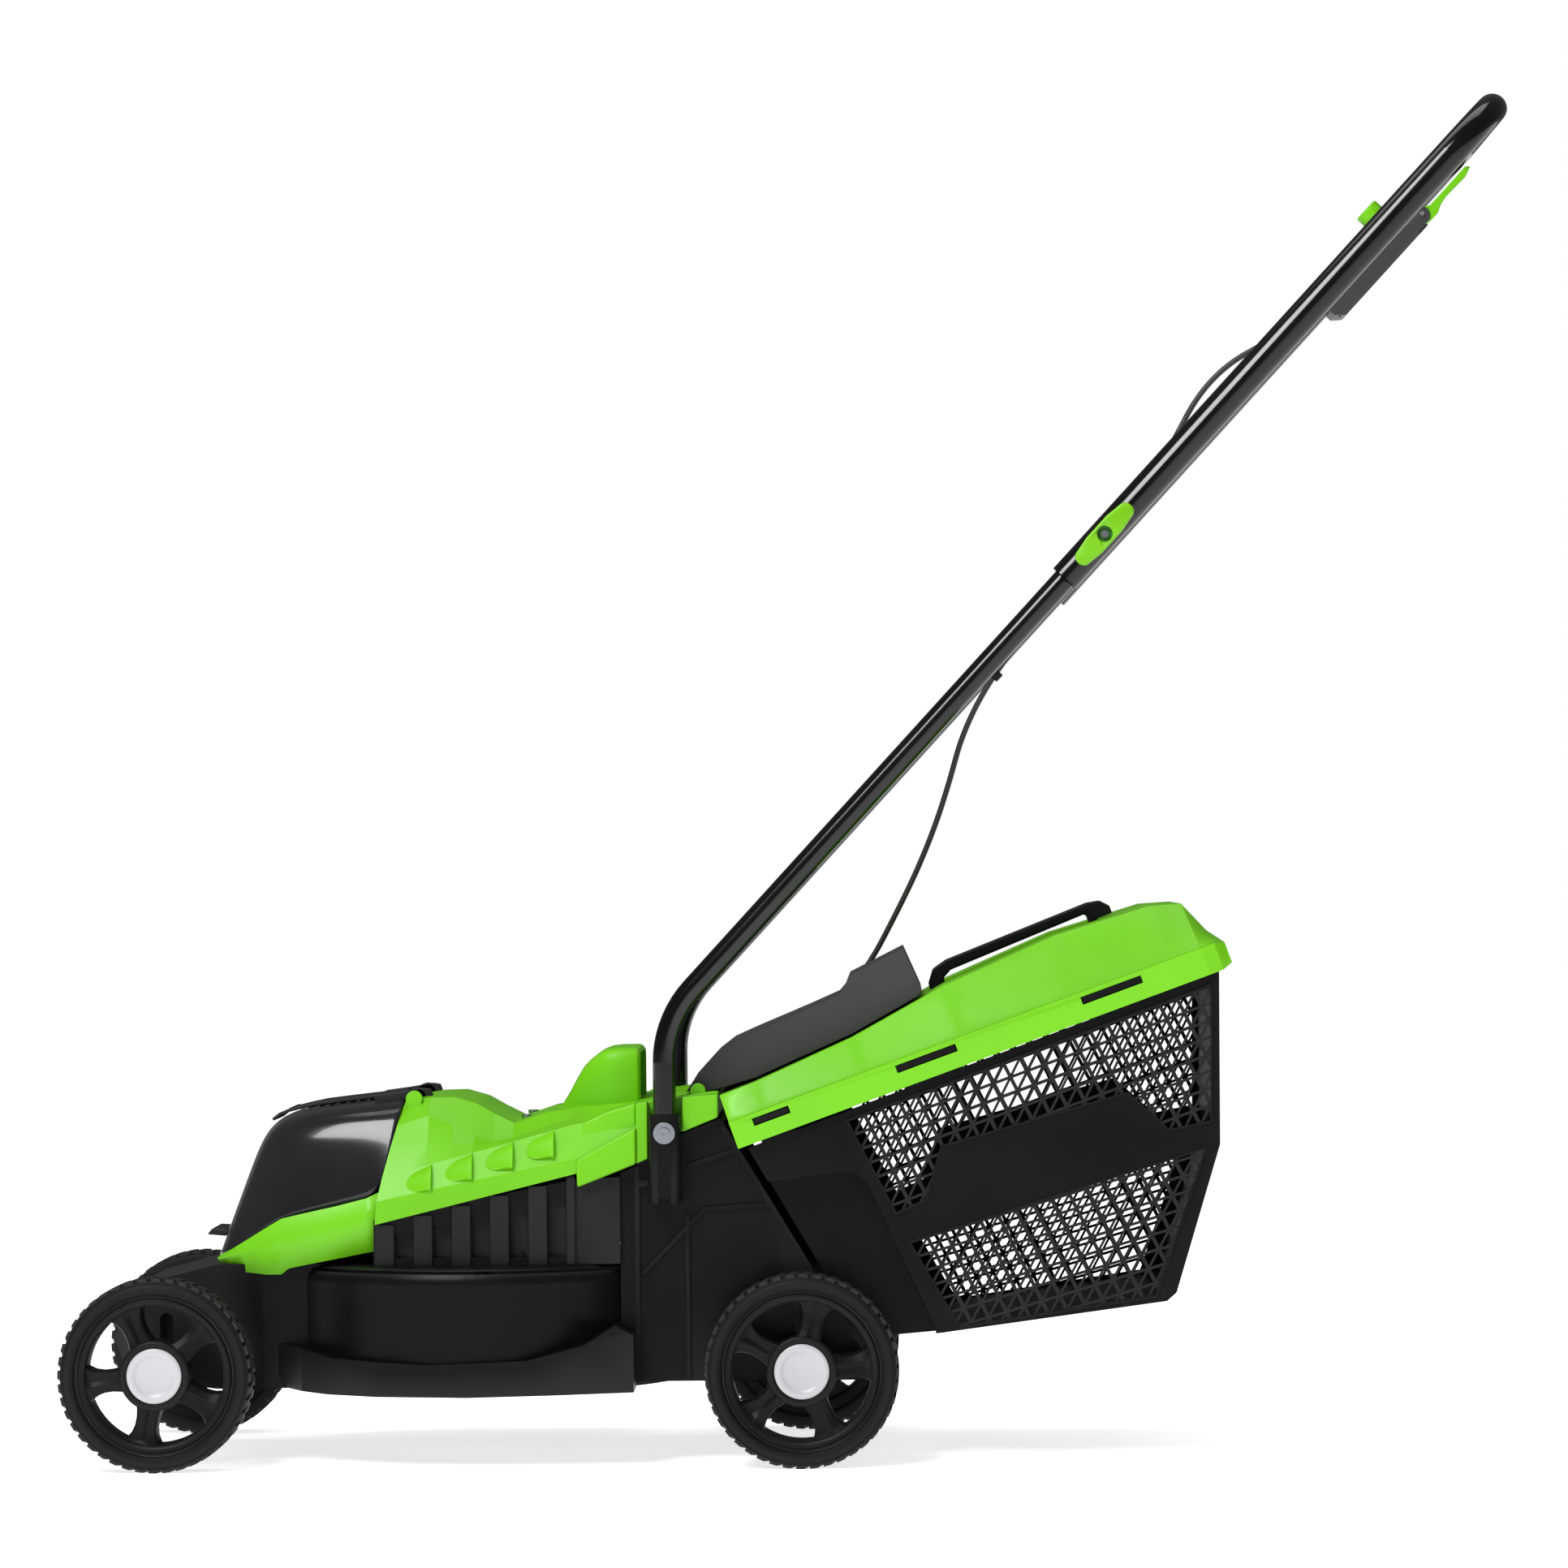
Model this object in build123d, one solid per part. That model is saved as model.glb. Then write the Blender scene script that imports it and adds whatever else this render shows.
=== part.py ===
"""Battery push mower: deck, motor hood, tinted battery cover, four wheels, rear grass box and a fold-down handle.

Millimetres. +X points to the rear, towards the person pushing, -Y is the mower's left side and +Z is up.
The origin is on the ground, in the middle of the whole machine's length and width.
"""

import os
from math import cos, pi, radians, sin, tan

from build123d import *

# Wheels and axles
WHEEL_R = 80.0
WHEEL_WIDTH = 40.0
WHEEL_FACE_Y = 187.0
WHEEL_INNER_Y = WHEEL_FACE_Y - WHEEL_WIDTH
FRONT_X = -522.0
REAR_X = 10.5
AXLE_Z = WHEEL_R
AXLE_R = 5.0
TYRE_DEPTH = 13.0
RIM_RING = 8.0
HUB_R = 29.0
CAP_R = 22.7
SPOKES = 5
FRONT_SPOKE_ANGLE = 43.0
REAR_SPOKE_ANGLE = 6.0
HEIGHT_TRAVEL = 40.0

# Fits
RUNNING_GAP = 0.05
FREE_GAP = 0.4
SKIN = 3.0

# Blade housing and deck
ROTOR_X = -264.0
HOUSING_R = 176.0
HOUSING_TOP = 166.0
SKIRT_Z = 63.0
NOSE_HALF = 108.0
REAR_HALF = 128.0

# Vents and hood
VENT_HALF = 133.0
VENT_FRONT_X = -345.0
VENT_PITCH = 31.8
VENT_RIB = 15.0
VENT_SLOPE = 0.247
VENT_FOOT = 172.0
BAFFLE_Y = 117.0
COLLAR_HALF = 120.0
HUMP_HALF = 62.0
HOOD_SCREW_R = 2.5
HOOD_SCREWS = [(-222.0, -45.0), (-222.0, 45.0)]
HOOD_SCREW_SEAT = 283.6

# Battery and cover
COVER_PIVOT_X = -314.0
COVER_PIVOT_Z = 302.0
PIN_R = 2.0
BATTERY_HALF = 62.0
BATTERY_BASE = 199.3
BATTERY_TOP = 278.0

# Handle
TUBE_R = 12.5
LEG_R = 9.5
TUBE_WALL = 1.5
RAIL_Y = 165.8
LEG_Y = 143.0
LEG_X = -102.0
LEG_FOOT_Z = 222.0
BOLT_X = 265.0
BOLT_Z = 765.0
BOLT_R = 3.0
HANDLE_ANGLE = 47.25
BAR_T = 484.0
BAR_BEND_R = 60.0
RAIL_END_T = -48.0
KNOB_INNER_Y = 178.7
KNOB_OUTER_Y = 190.0
LEG_TOP_T = 30.0
LEG_BEND_R = 90.0
SLEEVE_X = (-115.0, -89.0)
SLEEVE_Z = (217.0, 290.0)
SCREW_Z = 275.0
SCREW_R = 2.5

# Switch box, in distances along the handle, across it and up off it
BOX_T = (297.0, 420.0)
BOX_Y = (128.0, 182.0)
BOX_UP = (-24.5, 14.5)
BUTTON_T = 385.0
BUTTON_Y = 141.0
BUTTON_R = 11.5
LEVER_PIVOT = (414.0, -14.0)
LEVER_Y = (129.5, 152.0)

# Rear flap and grass box
FLAP_X = -75.0
FLAP_Z = 308.0
FLAP_HALF = 108.0
FLAP_ROD_R = 3.0
LID_ANGLE = 19.8
LID_X = -37.0
LID_Z = 263.0
LID_HALF = 158.0
BASKET_HALF = 150.0
BASKET_SKIN = 2.5
RECESS_HALF = 124.0

# Cable
CABLE_R = 2.5
CABLE_Y = 125.0
GLAND_X = -69.0
GLAND_Y = 130.0
GLAND_R = 5.5
GLAND_FLANGE_R = 7.0
GLAND_SEAT = 303.6
GLAND_TOP = 306.6
CLIP_T = -135.0
CLIP_UP = -8.7

HANDLE = Pos(BOLT_X, 0, BOLT_Z) * Rot(0, -HANDLE_ANGLE, 0)
LID = Pos(LID_X, 0, LID_Z) * Rot(0, -LID_ANGLE, 0)
SIDES = {"left": -1, "right": 1}
WHEELS = {
    "front_left": (FRONT_X, -1, FRONT_SPOKE_ANGLE),
    "front_right": (FRONT_X, 1, FRONT_SPOKE_ANGLE),
    "rear_left": (REAR_X, -1, REAR_SPOKE_ANGLE),
    "rear_right": (REAR_X, 1, REAR_SPOKE_ANGLE),
}


def brick(x, y, z):
    """A box between pairs of limits."""
    size = [b - a for a, b in (x, y, z)]
    middle = [(a + b) / 2 for a, b in (x, y, z)]
    return Pos(*middle) * Box(*size)


def face_of(points):
    """The flat face inside a closed outline of 3-D points."""
    return make_face(Polyline(*points, close=True))


def slab(outline, y0, y1, rounding=0.0):
    """A side-view outline of (x, z) points, extruded from y0 to y1."""
    face = face_of([(x, y0, z) for x, z in outline])
    if rounding:
        face = fillet(face.vertices(), rounding)
    return extrude(face, amount=y1 - y0, dir=(0, 1, 0))


def plan(outline, z0, z1):
    """A plan-view outline of (x, y) points, extruded from z0 to z1."""
    return extrude(face_of([(x, y, z0) for x, y in outline]), amount=z1 - z0, dir=(0, 0, 1))


def both_sides(outline):
    """A plan outline whose points are given for y > 0 from front to rear, closed by its mirror image."""
    return outline + [(x, -y) for x, y in reversed(outline)]


def ribbon(points, width):
    """A side-view strip of constant width along a run of (x, z) points, as its outline."""
    left, right = [], []
    for i, (x, z) in enumerate(points):
        ax, az = points[max(i - 1, 0)]
        bx, bz = points[min(i + 1, len(points) - 1)]
        length = ((bx - ax) ** 2 + (bz - az) ** 2) ** 0.5
        nx, nz = -(bz - az) / length * width / 2, (bx - ax) / length * width / 2
        left.append((x + nx, z + nz))
        right.append((x - nx, z - nz))
    return left + right[::-1]


def cyl_y(r, x, z, y0, y1):
    return Pos(x, (y0 + y1) / 2, z) * Rot(90, 0, 0) * Cylinder(r, abs(y1 - y0))


def cyl_z(r, x, y, z0, z1):
    return Pos(x, y, (z0 + z1) / 2) * Cylinder(r, z1 - z0)


def tube(path, radius, wall=0.0):
    """A round bar, or a tube if it has a wall, along a path."""
    start = Plane(origin=path @ 0, z_dir=path % 0)
    bar = sweep(start * Circle(radius), path=path)
    if wall:
        bar -= sweep(start * Circle(radius - wall), path=path)
    return bar


def stations(sections):
    """A solid ruled through cross-sections: each is x and its (half-width, z) corners from the bottom up."""
    faces = []
    for x, corners in sections:
        right = [(x, w, z) for w, z in corners]
        left = [(x, -w, z) for w, z in reversed(corners)]
        faces.append(face_of(right + left))
    return loft(faces, ruled=True)


# ---------------------------------------------------------------- deck

NOSE = [(-569, 104), (-546, 149), (-478, 166), (-300, 166), (-300, 64), (-480, 62), (-556, 72)]
NOSE_PLAN = both_sides([(-572, 74), (-548, 98), (-440, NOSE_HALF), (-250, NOSE_HALF)])
REAR_FOOT = 68.0
REAR_EDGE_TOP = (-56.0, 286.0)
REAR_EDGE_BOTTOM = (75.5, REAR_FOOT)
REAR = [(-140, REAR_FOOT), REAR_EDGE_BOTTOM, REAR_EDGE_TOP, (-117, 261), (-127, 246), (-140, 241)]
COMB = [(-430, 74), (-419, 64), (-382, 61), (-265, 60), (-128, 63), (-128, 110), (-143, 118),
        (-169, 102), (-216, 90), (-297, 87), (-377, 91), (-409, 99), (-430, 100)]
COMB_PLAN = [(-430, 104), (-405, 140), (-340, 174), (-264, 182), (-190, 182), (-128, 175), (-128, 100)]


def axle_slot(x, y0, y1):
    """The upright slot in which an axle stands at each cutting height."""
    r = AXLE_R + FREE_GAP
    low = cyl_y(r, x, AXLE_Z, y0, y1)
    high = cyl_y(r, x, AXLE_Z + HEIGHT_TRAVEL, y0, y1)
    return low + high + brick((x - r, x + r), (y0, y1), (AXLE_Z, AXLE_Z + HEIGHT_TRAVEL))


def deck_side_ribs(side):
    """The raised ribs on one side wall of the deck's rear."""
    ribs = [
        ribbon([(-126, 70), (-126, 246)], 4),
        ribbon([(-84, 70), (-84, 206)], 3),
        ribbon([(-122, 157), (-70, 211), (-14, 214)], 3.5),
        ribbon([(-84, 246), (-44, 259)], 4),
        ribbon([(-58, 284), (19, 158), (66, 80)], 4),
        ribbon([(-124, 232), (-116, 233)], 5),
    ]
    y0, y1 = sorted((side * (REAR_HALF - 0.5), side * (REAR_HALF + 3)))
    return [slab(outline, y0, y1) for outline in ribs]


def deck():
    housing = cyl_z(HOUSING_R, ROTOR_X, 0, SKIRT_Z, HOUSING_TOP)
    housing = fillet(housing.edges().sort_by(Axis.Z)[-1], 14)
    inside = cyl_z(HOUSING_R, ROTOR_X, 0, 0, HOUSING_TOP + 1)
    nose = slab(NOSE, -NOSE_HALF, NOSE_HALF) & plan(NOSE_PLAN, 0, 300)
    nose_inner = [(-562, 104), (-543, 146), (-477, 163), (-300, 163), (-300, 40), (-553, 40)]
    nose_hollow = slab(nose_inner, -NOSE_HALF + SKIN, NOSE_HALF - SKIN)
    nose_hollow &= plan(both_sides([(-566, 72), (-545, 95), (-440, 105), (-250, 105)]), 0, 300)
    rear = slab(REAR, -REAR_HALF, REAR_HALF)
    rear_inner = [(-137, 40), (120, 40), (-54, 282.6), (-116, 257.5), (-124, 243), (-137, 238)]
    rear_hollow = slab(rear_inner, -REAR_HALF + SKIN, REAR_HALF - SKIN)
    comb_side = slab(COMB, 100, 200) & plan(COMB_PLAN, 0, 200)
    body = housing + nose + rear + comb_side + mirror(comb_side, about=Plane.XZ)
    body -= nose_hollow - inside
    body -= rear_hollow - inside
    body -= cyl_z(HOUSING_R - SKIN, ROTOR_X, 0, 0, HOUSING_TOP - SKIN)
    body -= brick((-150, -60), (-95, 95), (108, HOUSING_TOP - SKIN))
    floor = slab(ribbon([(-126, 90), (-92, 106), (19, 156)], SKIN), -REAR_HALF + 1, REAR_HALF - 1)
    body += floor - cyl_z(HOUSING_R - SKIN, ROTOR_X, 0, 0, 200)
    body -= cyl_z(9, ROTOR_X, 0, 100, 200)
    for side in (-1, 1):
        for rib in deck_side_ribs(side):
            body += rib
        for x, half in ((FRONT_X, NOSE_HALF), (REAR_X, REAR_HALF)):
            y0, y1 = sorted((side * (half - 12), side * (half + 6)))
            body -= axle_slot(x, y0, y1)
        y0, y1 = sorted((side * (REAR_HALF - SKIN - 1), side * (REAR_HALF + 1)))
        body -= cyl_y(SCREW_R, LEG_X, SCREW_Z, y0, y1)
    return body


# ---------------------------------------------------------------- hood and vents

def vent_block(by):
    """The outer block of the vent housing, grown by a distance."""
    front, rear = VENT_FRONT_X - by, -140 + by
    profile = [(front, 166 - by), (rear, 166 - by), (rear, 238 + by), (-178, 236 + by), (front, 203 + by)]
    return slab(profile, -VENT_HALF - by, VENT_HALF + by)


def vent_housing():
    """The black riser between the deck and the hood, with upright ribs over its air slots."""
    body = vent_block(0)
    body -= slab([(-341, 150), (-120, 150), (-120, 300), (-341, 300)], -VENT_HALF + SKIN, VENT_HALF - SKIN)
    for side in (-1, 1):
        y0, y1 = sorted((side * (VENT_HALF - 1), side * (VENT_HALF + 3.5)))
        y2, y3 = sorted((side * (VENT_HALF - 6), side * (VENT_HALF + 1)))
        for k in range(6):
            x = VENT_FRONT_X + 2 + k * VENT_PITCH
            top = 199.5 + VENT_SLOPE * k * VENT_PITCH
            body += brick((x, min(x + VENT_RIB, -177.5)), (y0, y1), (HOUSING_TOP, top))
            if k:
                gap = (x - VENT_PITCH + VENT_RIB + 1, x - 1)
                body -= brick(gap, (y2, y3), (VENT_FOOT, top - 16))
        y4, y5 = sorted((side * BAFFLE_Y, side * (BAFFLE_Y + 2)))
        body += brick((VENT_FRONT_X + 2, -180), (y4, y5), (HOUSING_TOP, 200))
    for x, y in HOOD_SCREWS:
        body += cyl_z(5.5, x, y, HOUSING_TOP, 258) - cyl_z(HOOD_SCREW_R, x, y, 240, 260)
        body += brick((x - 1.5, x + 1.5), sorted((y, y / 45 * (VENT_HALF - 1))), (HOUSING_TOP, 176))
    return body


HOOD_STATIONS = [
    (-346, [(138, 196), (137, 226), (106, 252), (92, 300)]),
    (-318, [(139, 200), (137, 234), (104, 262), (92, 303)]),
    (-281, [(140, 209), (137, 247), (100, 268), (88, 306)]),
    (-262, [(140, 213), (137, 253), (98, 266), (88, 301)]),
    (-230, [(140, 221), (137, 262), (98, 272), (84, 283)]),
    (-190, [(140, 224), (137, 275), (98, 284), (84, 293)]),
    (-126, [(140, 240), (137, 281), (98, 292), (84, 299)]),
    (-58, [(139, 276), (138, 306), (98, 307), (84, 308)]),
]
HUMP = [(-200, 280), (-180, 318), (-168, 332), (-157, 340), (-145, 342.5), (-127, 342.5), (-124, 300), (-124, 280)]
LOWER_CUT = [
    (-400, 100), (-343, 100), (-343, 200), (-177, 241), (-175.5, 230), (-126, 249), (-126, 262),
    (-117, 264), (-88, 275), (-57, 287), (-40, 287), (-40, 100),
]
COVER_SIDE = [(-484, 168), (-473, 201), (-458, 241), (-448, 267), (-439, 280), (-426, 289), (-406, 294),
              (-357, 299), (-318, 303)]
SEAM = [(-500, 168), (-476, 173), (-450, 189), (-425, 204), (-377, 215), (-350, 223), (-339, 234), (-332, 259),
        (-326, 287), (-321, 300)]
COLLAR_PLAN = both_sides([(-484, 62), (-474, 84), (-452, 101), (-400, 112), (-346, COLLAR_HALF), (-316, 122)])


def front_body(by):
    """The outer shape that the battery cover and the hood's collar share, drawn in by a distance."""
    outline = [(-318, 303 - by)]
    outline += [(x + by * 0.5, z - by * 0.9) for x, z in reversed(COVER_SIDE[:-1])]
    outline += [(-484 + by, 166 - 20 * (by > 0)), (-452, 158 - 20 * (by > 0)), (-318, 158 - 20 * (by > 0))]
    body = slab(outline, -COLLAR_HALF - 4, COLLAR_HALF + 4)
    body &= plan([(x + by, y - by * (1 if y > 0 else -1)) for x, y in COLLAR_PLAN], 100, 400)
    taper = [
        (-490, [(COLLAR_HALF - by, 100), (COLLAR_HALF - by, 210), (104 - by, 262), (88 - by, 310)]),
        (-310, [(124 - by, 100), (124 - by, 226), (108 - by, 268), (92 - by, 310)]),
    ]
    return body & stations(taper)


def over_seam(lift):
    """Everything above the line where the cover meets the collar."""
    outline = [(x, z + lift) for x, z in SEAM] + [(-321, 420), (-560, 420), (-560, 168 + lift)]
    return slab(outline, -200, 200)


def hood():
    main = stations(HOOD_STATIONS)
    inner = [(x, [(w - SKIN, z - SKIN if i > 1 else z - 4) for i, (w, z) in enumerate(corners)])
             for x, corners in HOOD_STATIONS]
    inner[0] = (-343.0, inner[0][1])
    inner[-1] = (-61.0, inner[-1][1])
    hump = slab(HUMP, -HUMP_HALF, HUMP_HALF)
    hump = fillet(hump.edges().filter_by(Axis.Y, reverse=True).group_by(Axis.Z)[-1], 5)
    hump_inner = [(-196, 270), (-177, 317), (-166, 329), (-156, 336.8), (-145, 339.5), (-120, 339.5), (-120, 270)]
    core = main + hump
    core -= stations(inner)
    core -= slab(hump_inner, -HUMP_HALF + SKIN, HUMP_HALF - SKIN)
    core -= slab(LOWER_CUT, -200, 200)
    core -= brick((-400, -321), (-200, 200), (226, 400)) & over_seam(0)
    collar = front_body(0) - front_body(SKIN)
    collar -= over_seam(0)
    collar -= slab([(-500, 166.3), (-417, 166.3), (-346, 181), (-300, 181), (-300, 100), (-500, 100)], -200, 200)
    bulkhead = slab([(-342, 170), (-339, 170), (-336, 232), (-324, 298), (-327, 299), (-339, 236)], -90, 90)
    body = core + collar + bulkhead - vent_block(0.2)
    for side in (-1, 1):
        y0, y1 = sorted((side * 82, side * 90))
        boss = cyl_y(7.0, COVER_PIVOT_X, COVER_PIVOT_Z, y0, y1)
        boss += brick((COVER_PIVOT_X - 4, COVER_PIVOT_X + 7), (y0, y1), (288, COVER_PIVOT_Z))
        body += boss
        y0, y1 = sorted((side * 44.5, side * 61.5))
        body -= brick((-345, -289), (y0, y1), (278, 330))
        y0, y1 = sorted((side * (LEG_Y - 17), side * (LEG_Y + 20)))
        body -= brick((LEG_X - 13.6, LEG_X + 13.6), (y0, y1), (150, 330))
        y0, y1 = sorted((side * 111, side * 121))
        ear = cyl_y(6.5, FLAP_X, FLAP_Z, y0, y1)
        ear += brick((FLAP_X - 6.5, FLAP_X + 6.5), (y0, y1), (302, FLAP_Z))
        body += ear
    body -= brick((-90, -50), (-110.6, 110.6), (296, 330))
    body -= cyl_y(PIN_R, COVER_PIVOT_X, COVER_PIVOT_Z, -88, 88)
    body -= cyl_y(FLAP_ROD_R, FLAP_X, FLAP_Z, -118, 118)
    for x, y in HOOD_SCREWS:
        body += cyl_z(5.5, x, y, 258, HOOD_SCREW_SEAT)
        body -= cyl_z(5.2, x, y, HOOD_SCREW_SEAT, 330)
        body -= cyl_z(HOOD_SCREW_R, x, y, 250, 330)
    body += cyl_z(GLAND_FLANGE_R + 1.5, GLAND_X, GLAND_Y, 292, GLAND_SEAT)
    body -= cyl_z(GLAND_FLANGE_R + 0.2, GLAND_X, GLAND_Y, GLAND_SEAT, 330)
    body -= cyl_z(GLAND_R, GLAND_X, GLAND_Y, 285, 330)
    return body


def hood_screws():
    """Screws that hold the hood down on the vent housing's posts, their heads in its counterbores."""
    group = []
    for x, y in HOOD_SCREWS:
        shank = cyl_z(HOOD_SCREW_R, x, y, 242, HOOD_SCREW_SEAT + 0.1)
        group.append(shank + cyl_z(4.6, x, y, HOOD_SCREW_SEAT, HOOD_SCREW_SEAT + 3))
    return Compound(children=group)


# ---------------------------------------------------------------- battery bay

ARM_YS = (46.0, 60.0)


def cover_window():
    """The tinted cover, a shell open towards the battery."""
    shell = front_body(0) - front_body(SKIN)
    shell = (shell & over_seam(0.6)) - brick((-321.6, -300), (-200, 200), (100, 400))
    lowest = brick((-500, -484.5), (-40, 40), (181, 186))
    tab = slab([(-494, 184), (-480, 184), (-477, 190), (-492, 189)], -34, 34)
    return shell + tab - lowest - cover_arms()


def cover_arms():
    """Two dark goosenecks that carry the cover round its pin, joined by a ribbed top strip."""
    strip = slab([(-436, 286), (-432, 292), (-404, 297.6), (-356, 302.6), (-330, 304.6), (-330, 302.6), (-356, 300.0),
                  (-404, 295.2), (-424, 291.0)], -40, 40)
    for k in range(9):
        x = -424 + k * 11.0
        strip -= brick((x, x + 3.0), (-34, 34), (296.6 + k * 0.9, 310))
    for side in (-1, 1):
        y0, y1 = sorted((side * ARM_YS[0], side * ARM_YS[1]))
        plate = slab([(-350, 293.0), (-332, 294.5), (-318, 296), (-306, 298), (-301, 304), (-303, 309), (-309, 310),
                      (-330, 305.4), (-350, 303.6)], y0, y1, 1.2)
        strip += plate
        y2, y3 = sorted((side * 34, side * 47))
        strip += slab([(-350, 300.6), (-330, 302.6), (-330, 304.6), (-350, 303.2)], y2, y3)
    strip -= cyl_y(PIN_R + RUNNING_GAP, COVER_PIVOT_X, COVER_PIVOT_Z, -70, 70)
    return strip


def cover_pin():
    return cyl_y(PIN_R, COVER_PIVOT_X, COVER_PIVOT_Z, -88, 88)


def battery_tray():
    body = brick((-446, -347), (-72, 72), (196, 199))
    for side in (-1, 1):
        y0, y1 = sorted((side * 66, side * 72))
        body += brick((-440, -349), (y0, y1), (199, 206))
        y2, y3 = sorted((side * 50, side * 56))
        body += brick((-436, -352), (y2, y3), (HOUSING_TOP, 196))
    return body - brick((-376.4, -363.6), (64.6, 71.4), (190, 230))


def battery_pack():
    shape = slab([(-436, BATTERY_BASE), (-348, BATTERY_BASE), (-348, BATTERY_TOP), (-429, BATTERY_TOP)],
                 -BATTERY_HALF, BATTERY_HALF, 5)
    shape -= brick((-431, -418), (-16, 16), (262, 300))
    for k in range(4):
        y = -36 + k * 24
        shape -= brick((-352, -344), (y - 5, y + 5), (BATTERY_BASE - 1, 216))
    return shape


def battery_latch():
    """The release button in the pack's front, which presses rearwards."""
    return brick((-427, -423), (-15, 15), (263, 278.5))


def battery_terminals():
    """Blade contacts on the tray, standing in the pack's slots."""
    group = [brick((-351, -349), (y - 3.5, y + 3.5), (199, 213)) for y in (-36, -12, 12, 36)]
    return Compound(children=group)


def safety_key():
    """The key that arms the motor, standing in the tray's slot with its grip above the rail."""
    return brick((-376, -364), (65, 71), (188, 207)) + brick((-379, -361), (64, 72), (206.3, 226))


# ---------------------------------------------------------------- motor and blade

MOTOR_R = 46.0
SHAFT_R = 6.0
BLADE_HALF = 165.0
BLADE_Z = 78.0


def motor_can():
    body = cyl_z(MOTOR_R, ROTOR_X, 0, HOUSING_TOP, 250)
    body = fillet(body.edges().sort_by(Axis.Z)[-1], 5)
    body += cyl_z(20, ROTOR_X, 0, 249, 258)
    body -= cyl_z(SHAFT_R + RUNNING_GAP, ROTOR_X, 0, 160, 252)
    for k in range(8):
        body -= Pos(ROTOR_X, 0, 0) * Rot(0, 0, k * 45) * brick((36, 60), (-5, 5), (178, 186))
    return body


def motor_shaft():
    return cyl_z(SHAFT_R, ROTOR_X, 0, BLADE_Z + 3, 250)


def cooling_fan():
    fan = cyl_z(52, ROTOR_X, 0, 128, 131) + cyl_z(14, ROTOR_X, 0, 122, 145)
    for k in range(8):
        fan += Pos(ROTOR_X, 0, 0) * Rot(0, 0, k * 45) * brick((12, 50), (-1.5, 1.5), (130, 145))
    return fan - cyl_z(SHAFT_R, ROTOR_X, 0, 100, 200)


def blade_adapter():
    return cyl_z(24, ROTOR_X, 0, BLADE_Z + 3, 92) + cyl_z(13, ROTOR_X, 0, 91, 122) - cyl_z(SHAFT_R, ROTOR_X, 0, 60, 200)


def blade():
    bar = brick((-BLADE_HALF, BLADE_HALF), (-22, 22), (0, 3))
    for sign in (-1, 1):
        x0, x1 = sorted((sign * 105, sign * (BLADE_HALF - 2)))
        y0, y1 = sorted((sign * 10, sign * 22))
        bar += slab([(x0, 0), (x1, 0), (x1, 18), (x0 + 8 * (sign > 0), 18)], y0, y0 + 3)
        bar -= Pos(sign * 135, -sign * 24, 0) * Box(62, 8, 20)
    bar &= cyl_z(BLADE_HALF, 0, 0, -5, 40)
    return Pos(ROTOR_X, 0, BLADE_Z) * bar - cyl_z(4, ROTOR_X, 0, 60, 100)


def blade_bolt():
    head = Pos(ROTOR_X, 0, BLADE_Z - 3.5) * extrude(RegularPolygon(8, 6), 3.5)
    return head + cyl_z(14, ROTOR_X, 0, BLADE_Z - 1.5, BLADE_Z) + cyl_z(4, ROTOR_X, 0, BLADE_Z - 2, BLADE_Z + 3)


def control_board():
    """The speed controller on its board, beside the motor."""
    board = brick((-205, -160), (-55, 35), (172, 174))
    posts = [brick((x - 2, x + 2), (y - 2, y + 2), (HOUSING_TOP, 172)) for x in (-200, -165) for y in (-50, 30)]
    for post in posts:
        board += post
    for k in range(3):
        board += cyl_z(8, -182, -36 + k * 24, 174, 196)
    return board


# ---------------------------------------------------------------- wheels

def spoke(angle):
    """One spoke, widening towards the rim, drawn about the wheel's centre in a side view."""
    outline = [(HUB_R - 2, -5.5), (59.5, -11), (59.5, 11), (HUB_R - 2, 5.5)]
    return Rot(0, -angle, 0) * slab(outline, -9, 9)


def wheel_parts(x, side, angle):
    """The tyre, the spoked rim and the cap of one wheel."""
    outer = side * WHEEL_FACE_Y
    middle = side * (WHEEL_FACE_Y - WHEEL_WIDTH / 2)
    half = WHEEL_WIDTH / 2
    rim_r = WHEEL_R - TYRE_DEPTH
    tyre = Cylinder(WHEEL_R, WHEEL_WIDTH) - Cylinder(rim_r, WHEEL_WIDTH + 2)
    tyre = chamfer(tyre.edges().filter_by(GeomType.CIRCLE).sort_by(SortBy.RADIUS)[-2:], 3)
    tyre = Pos(x, middle, AXLE_Z) * Rot(90, 0, 0) * tyre
    ring = Cylinder(rim_r, WHEEL_WIDTH - 4) - Cylinder(rim_r - RIM_RING, WHEEL_WIDTH)
    hub = Cylinder(HUB_R, WHEEL_WIDTH - 2)
    rim = Rot(90, 0, 0) * (ring + hub)
    for k in range(SPOKES):
        rim += spoke(angle + k * 360 / SPOKES)
    rim = Pos(x, middle, AXLE_Z) * rim
    face = outer - side * 1.0
    y0, y1 = sorted((face + side * 1, face - side * 14))
    rim -= cyl_y(CAP_R - 2, x, AXLE_Z, y0, y1)
    y0, y1 = sorted((middle - side * (half + 2), face))
    rim -= cyl_y(AXLE_R + RUNNING_GAP, x, AXLE_Z, y0, y1)
    y0, y1 = sorted((face, outer))
    cap = cyl_y(CAP_R, x, AXLE_Z, y0, y1)
    y0, y1 = sorted((face, face - side * 5))
    cap += cyl_y(CAP_R - 2, x, AXLE_Z, y0, y1) - cyl_y(CAP_R - 5, x, AXLE_Z, y0, y1)
    return {"tyre": tyre, "rim": rim, "cap": cap}


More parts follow.
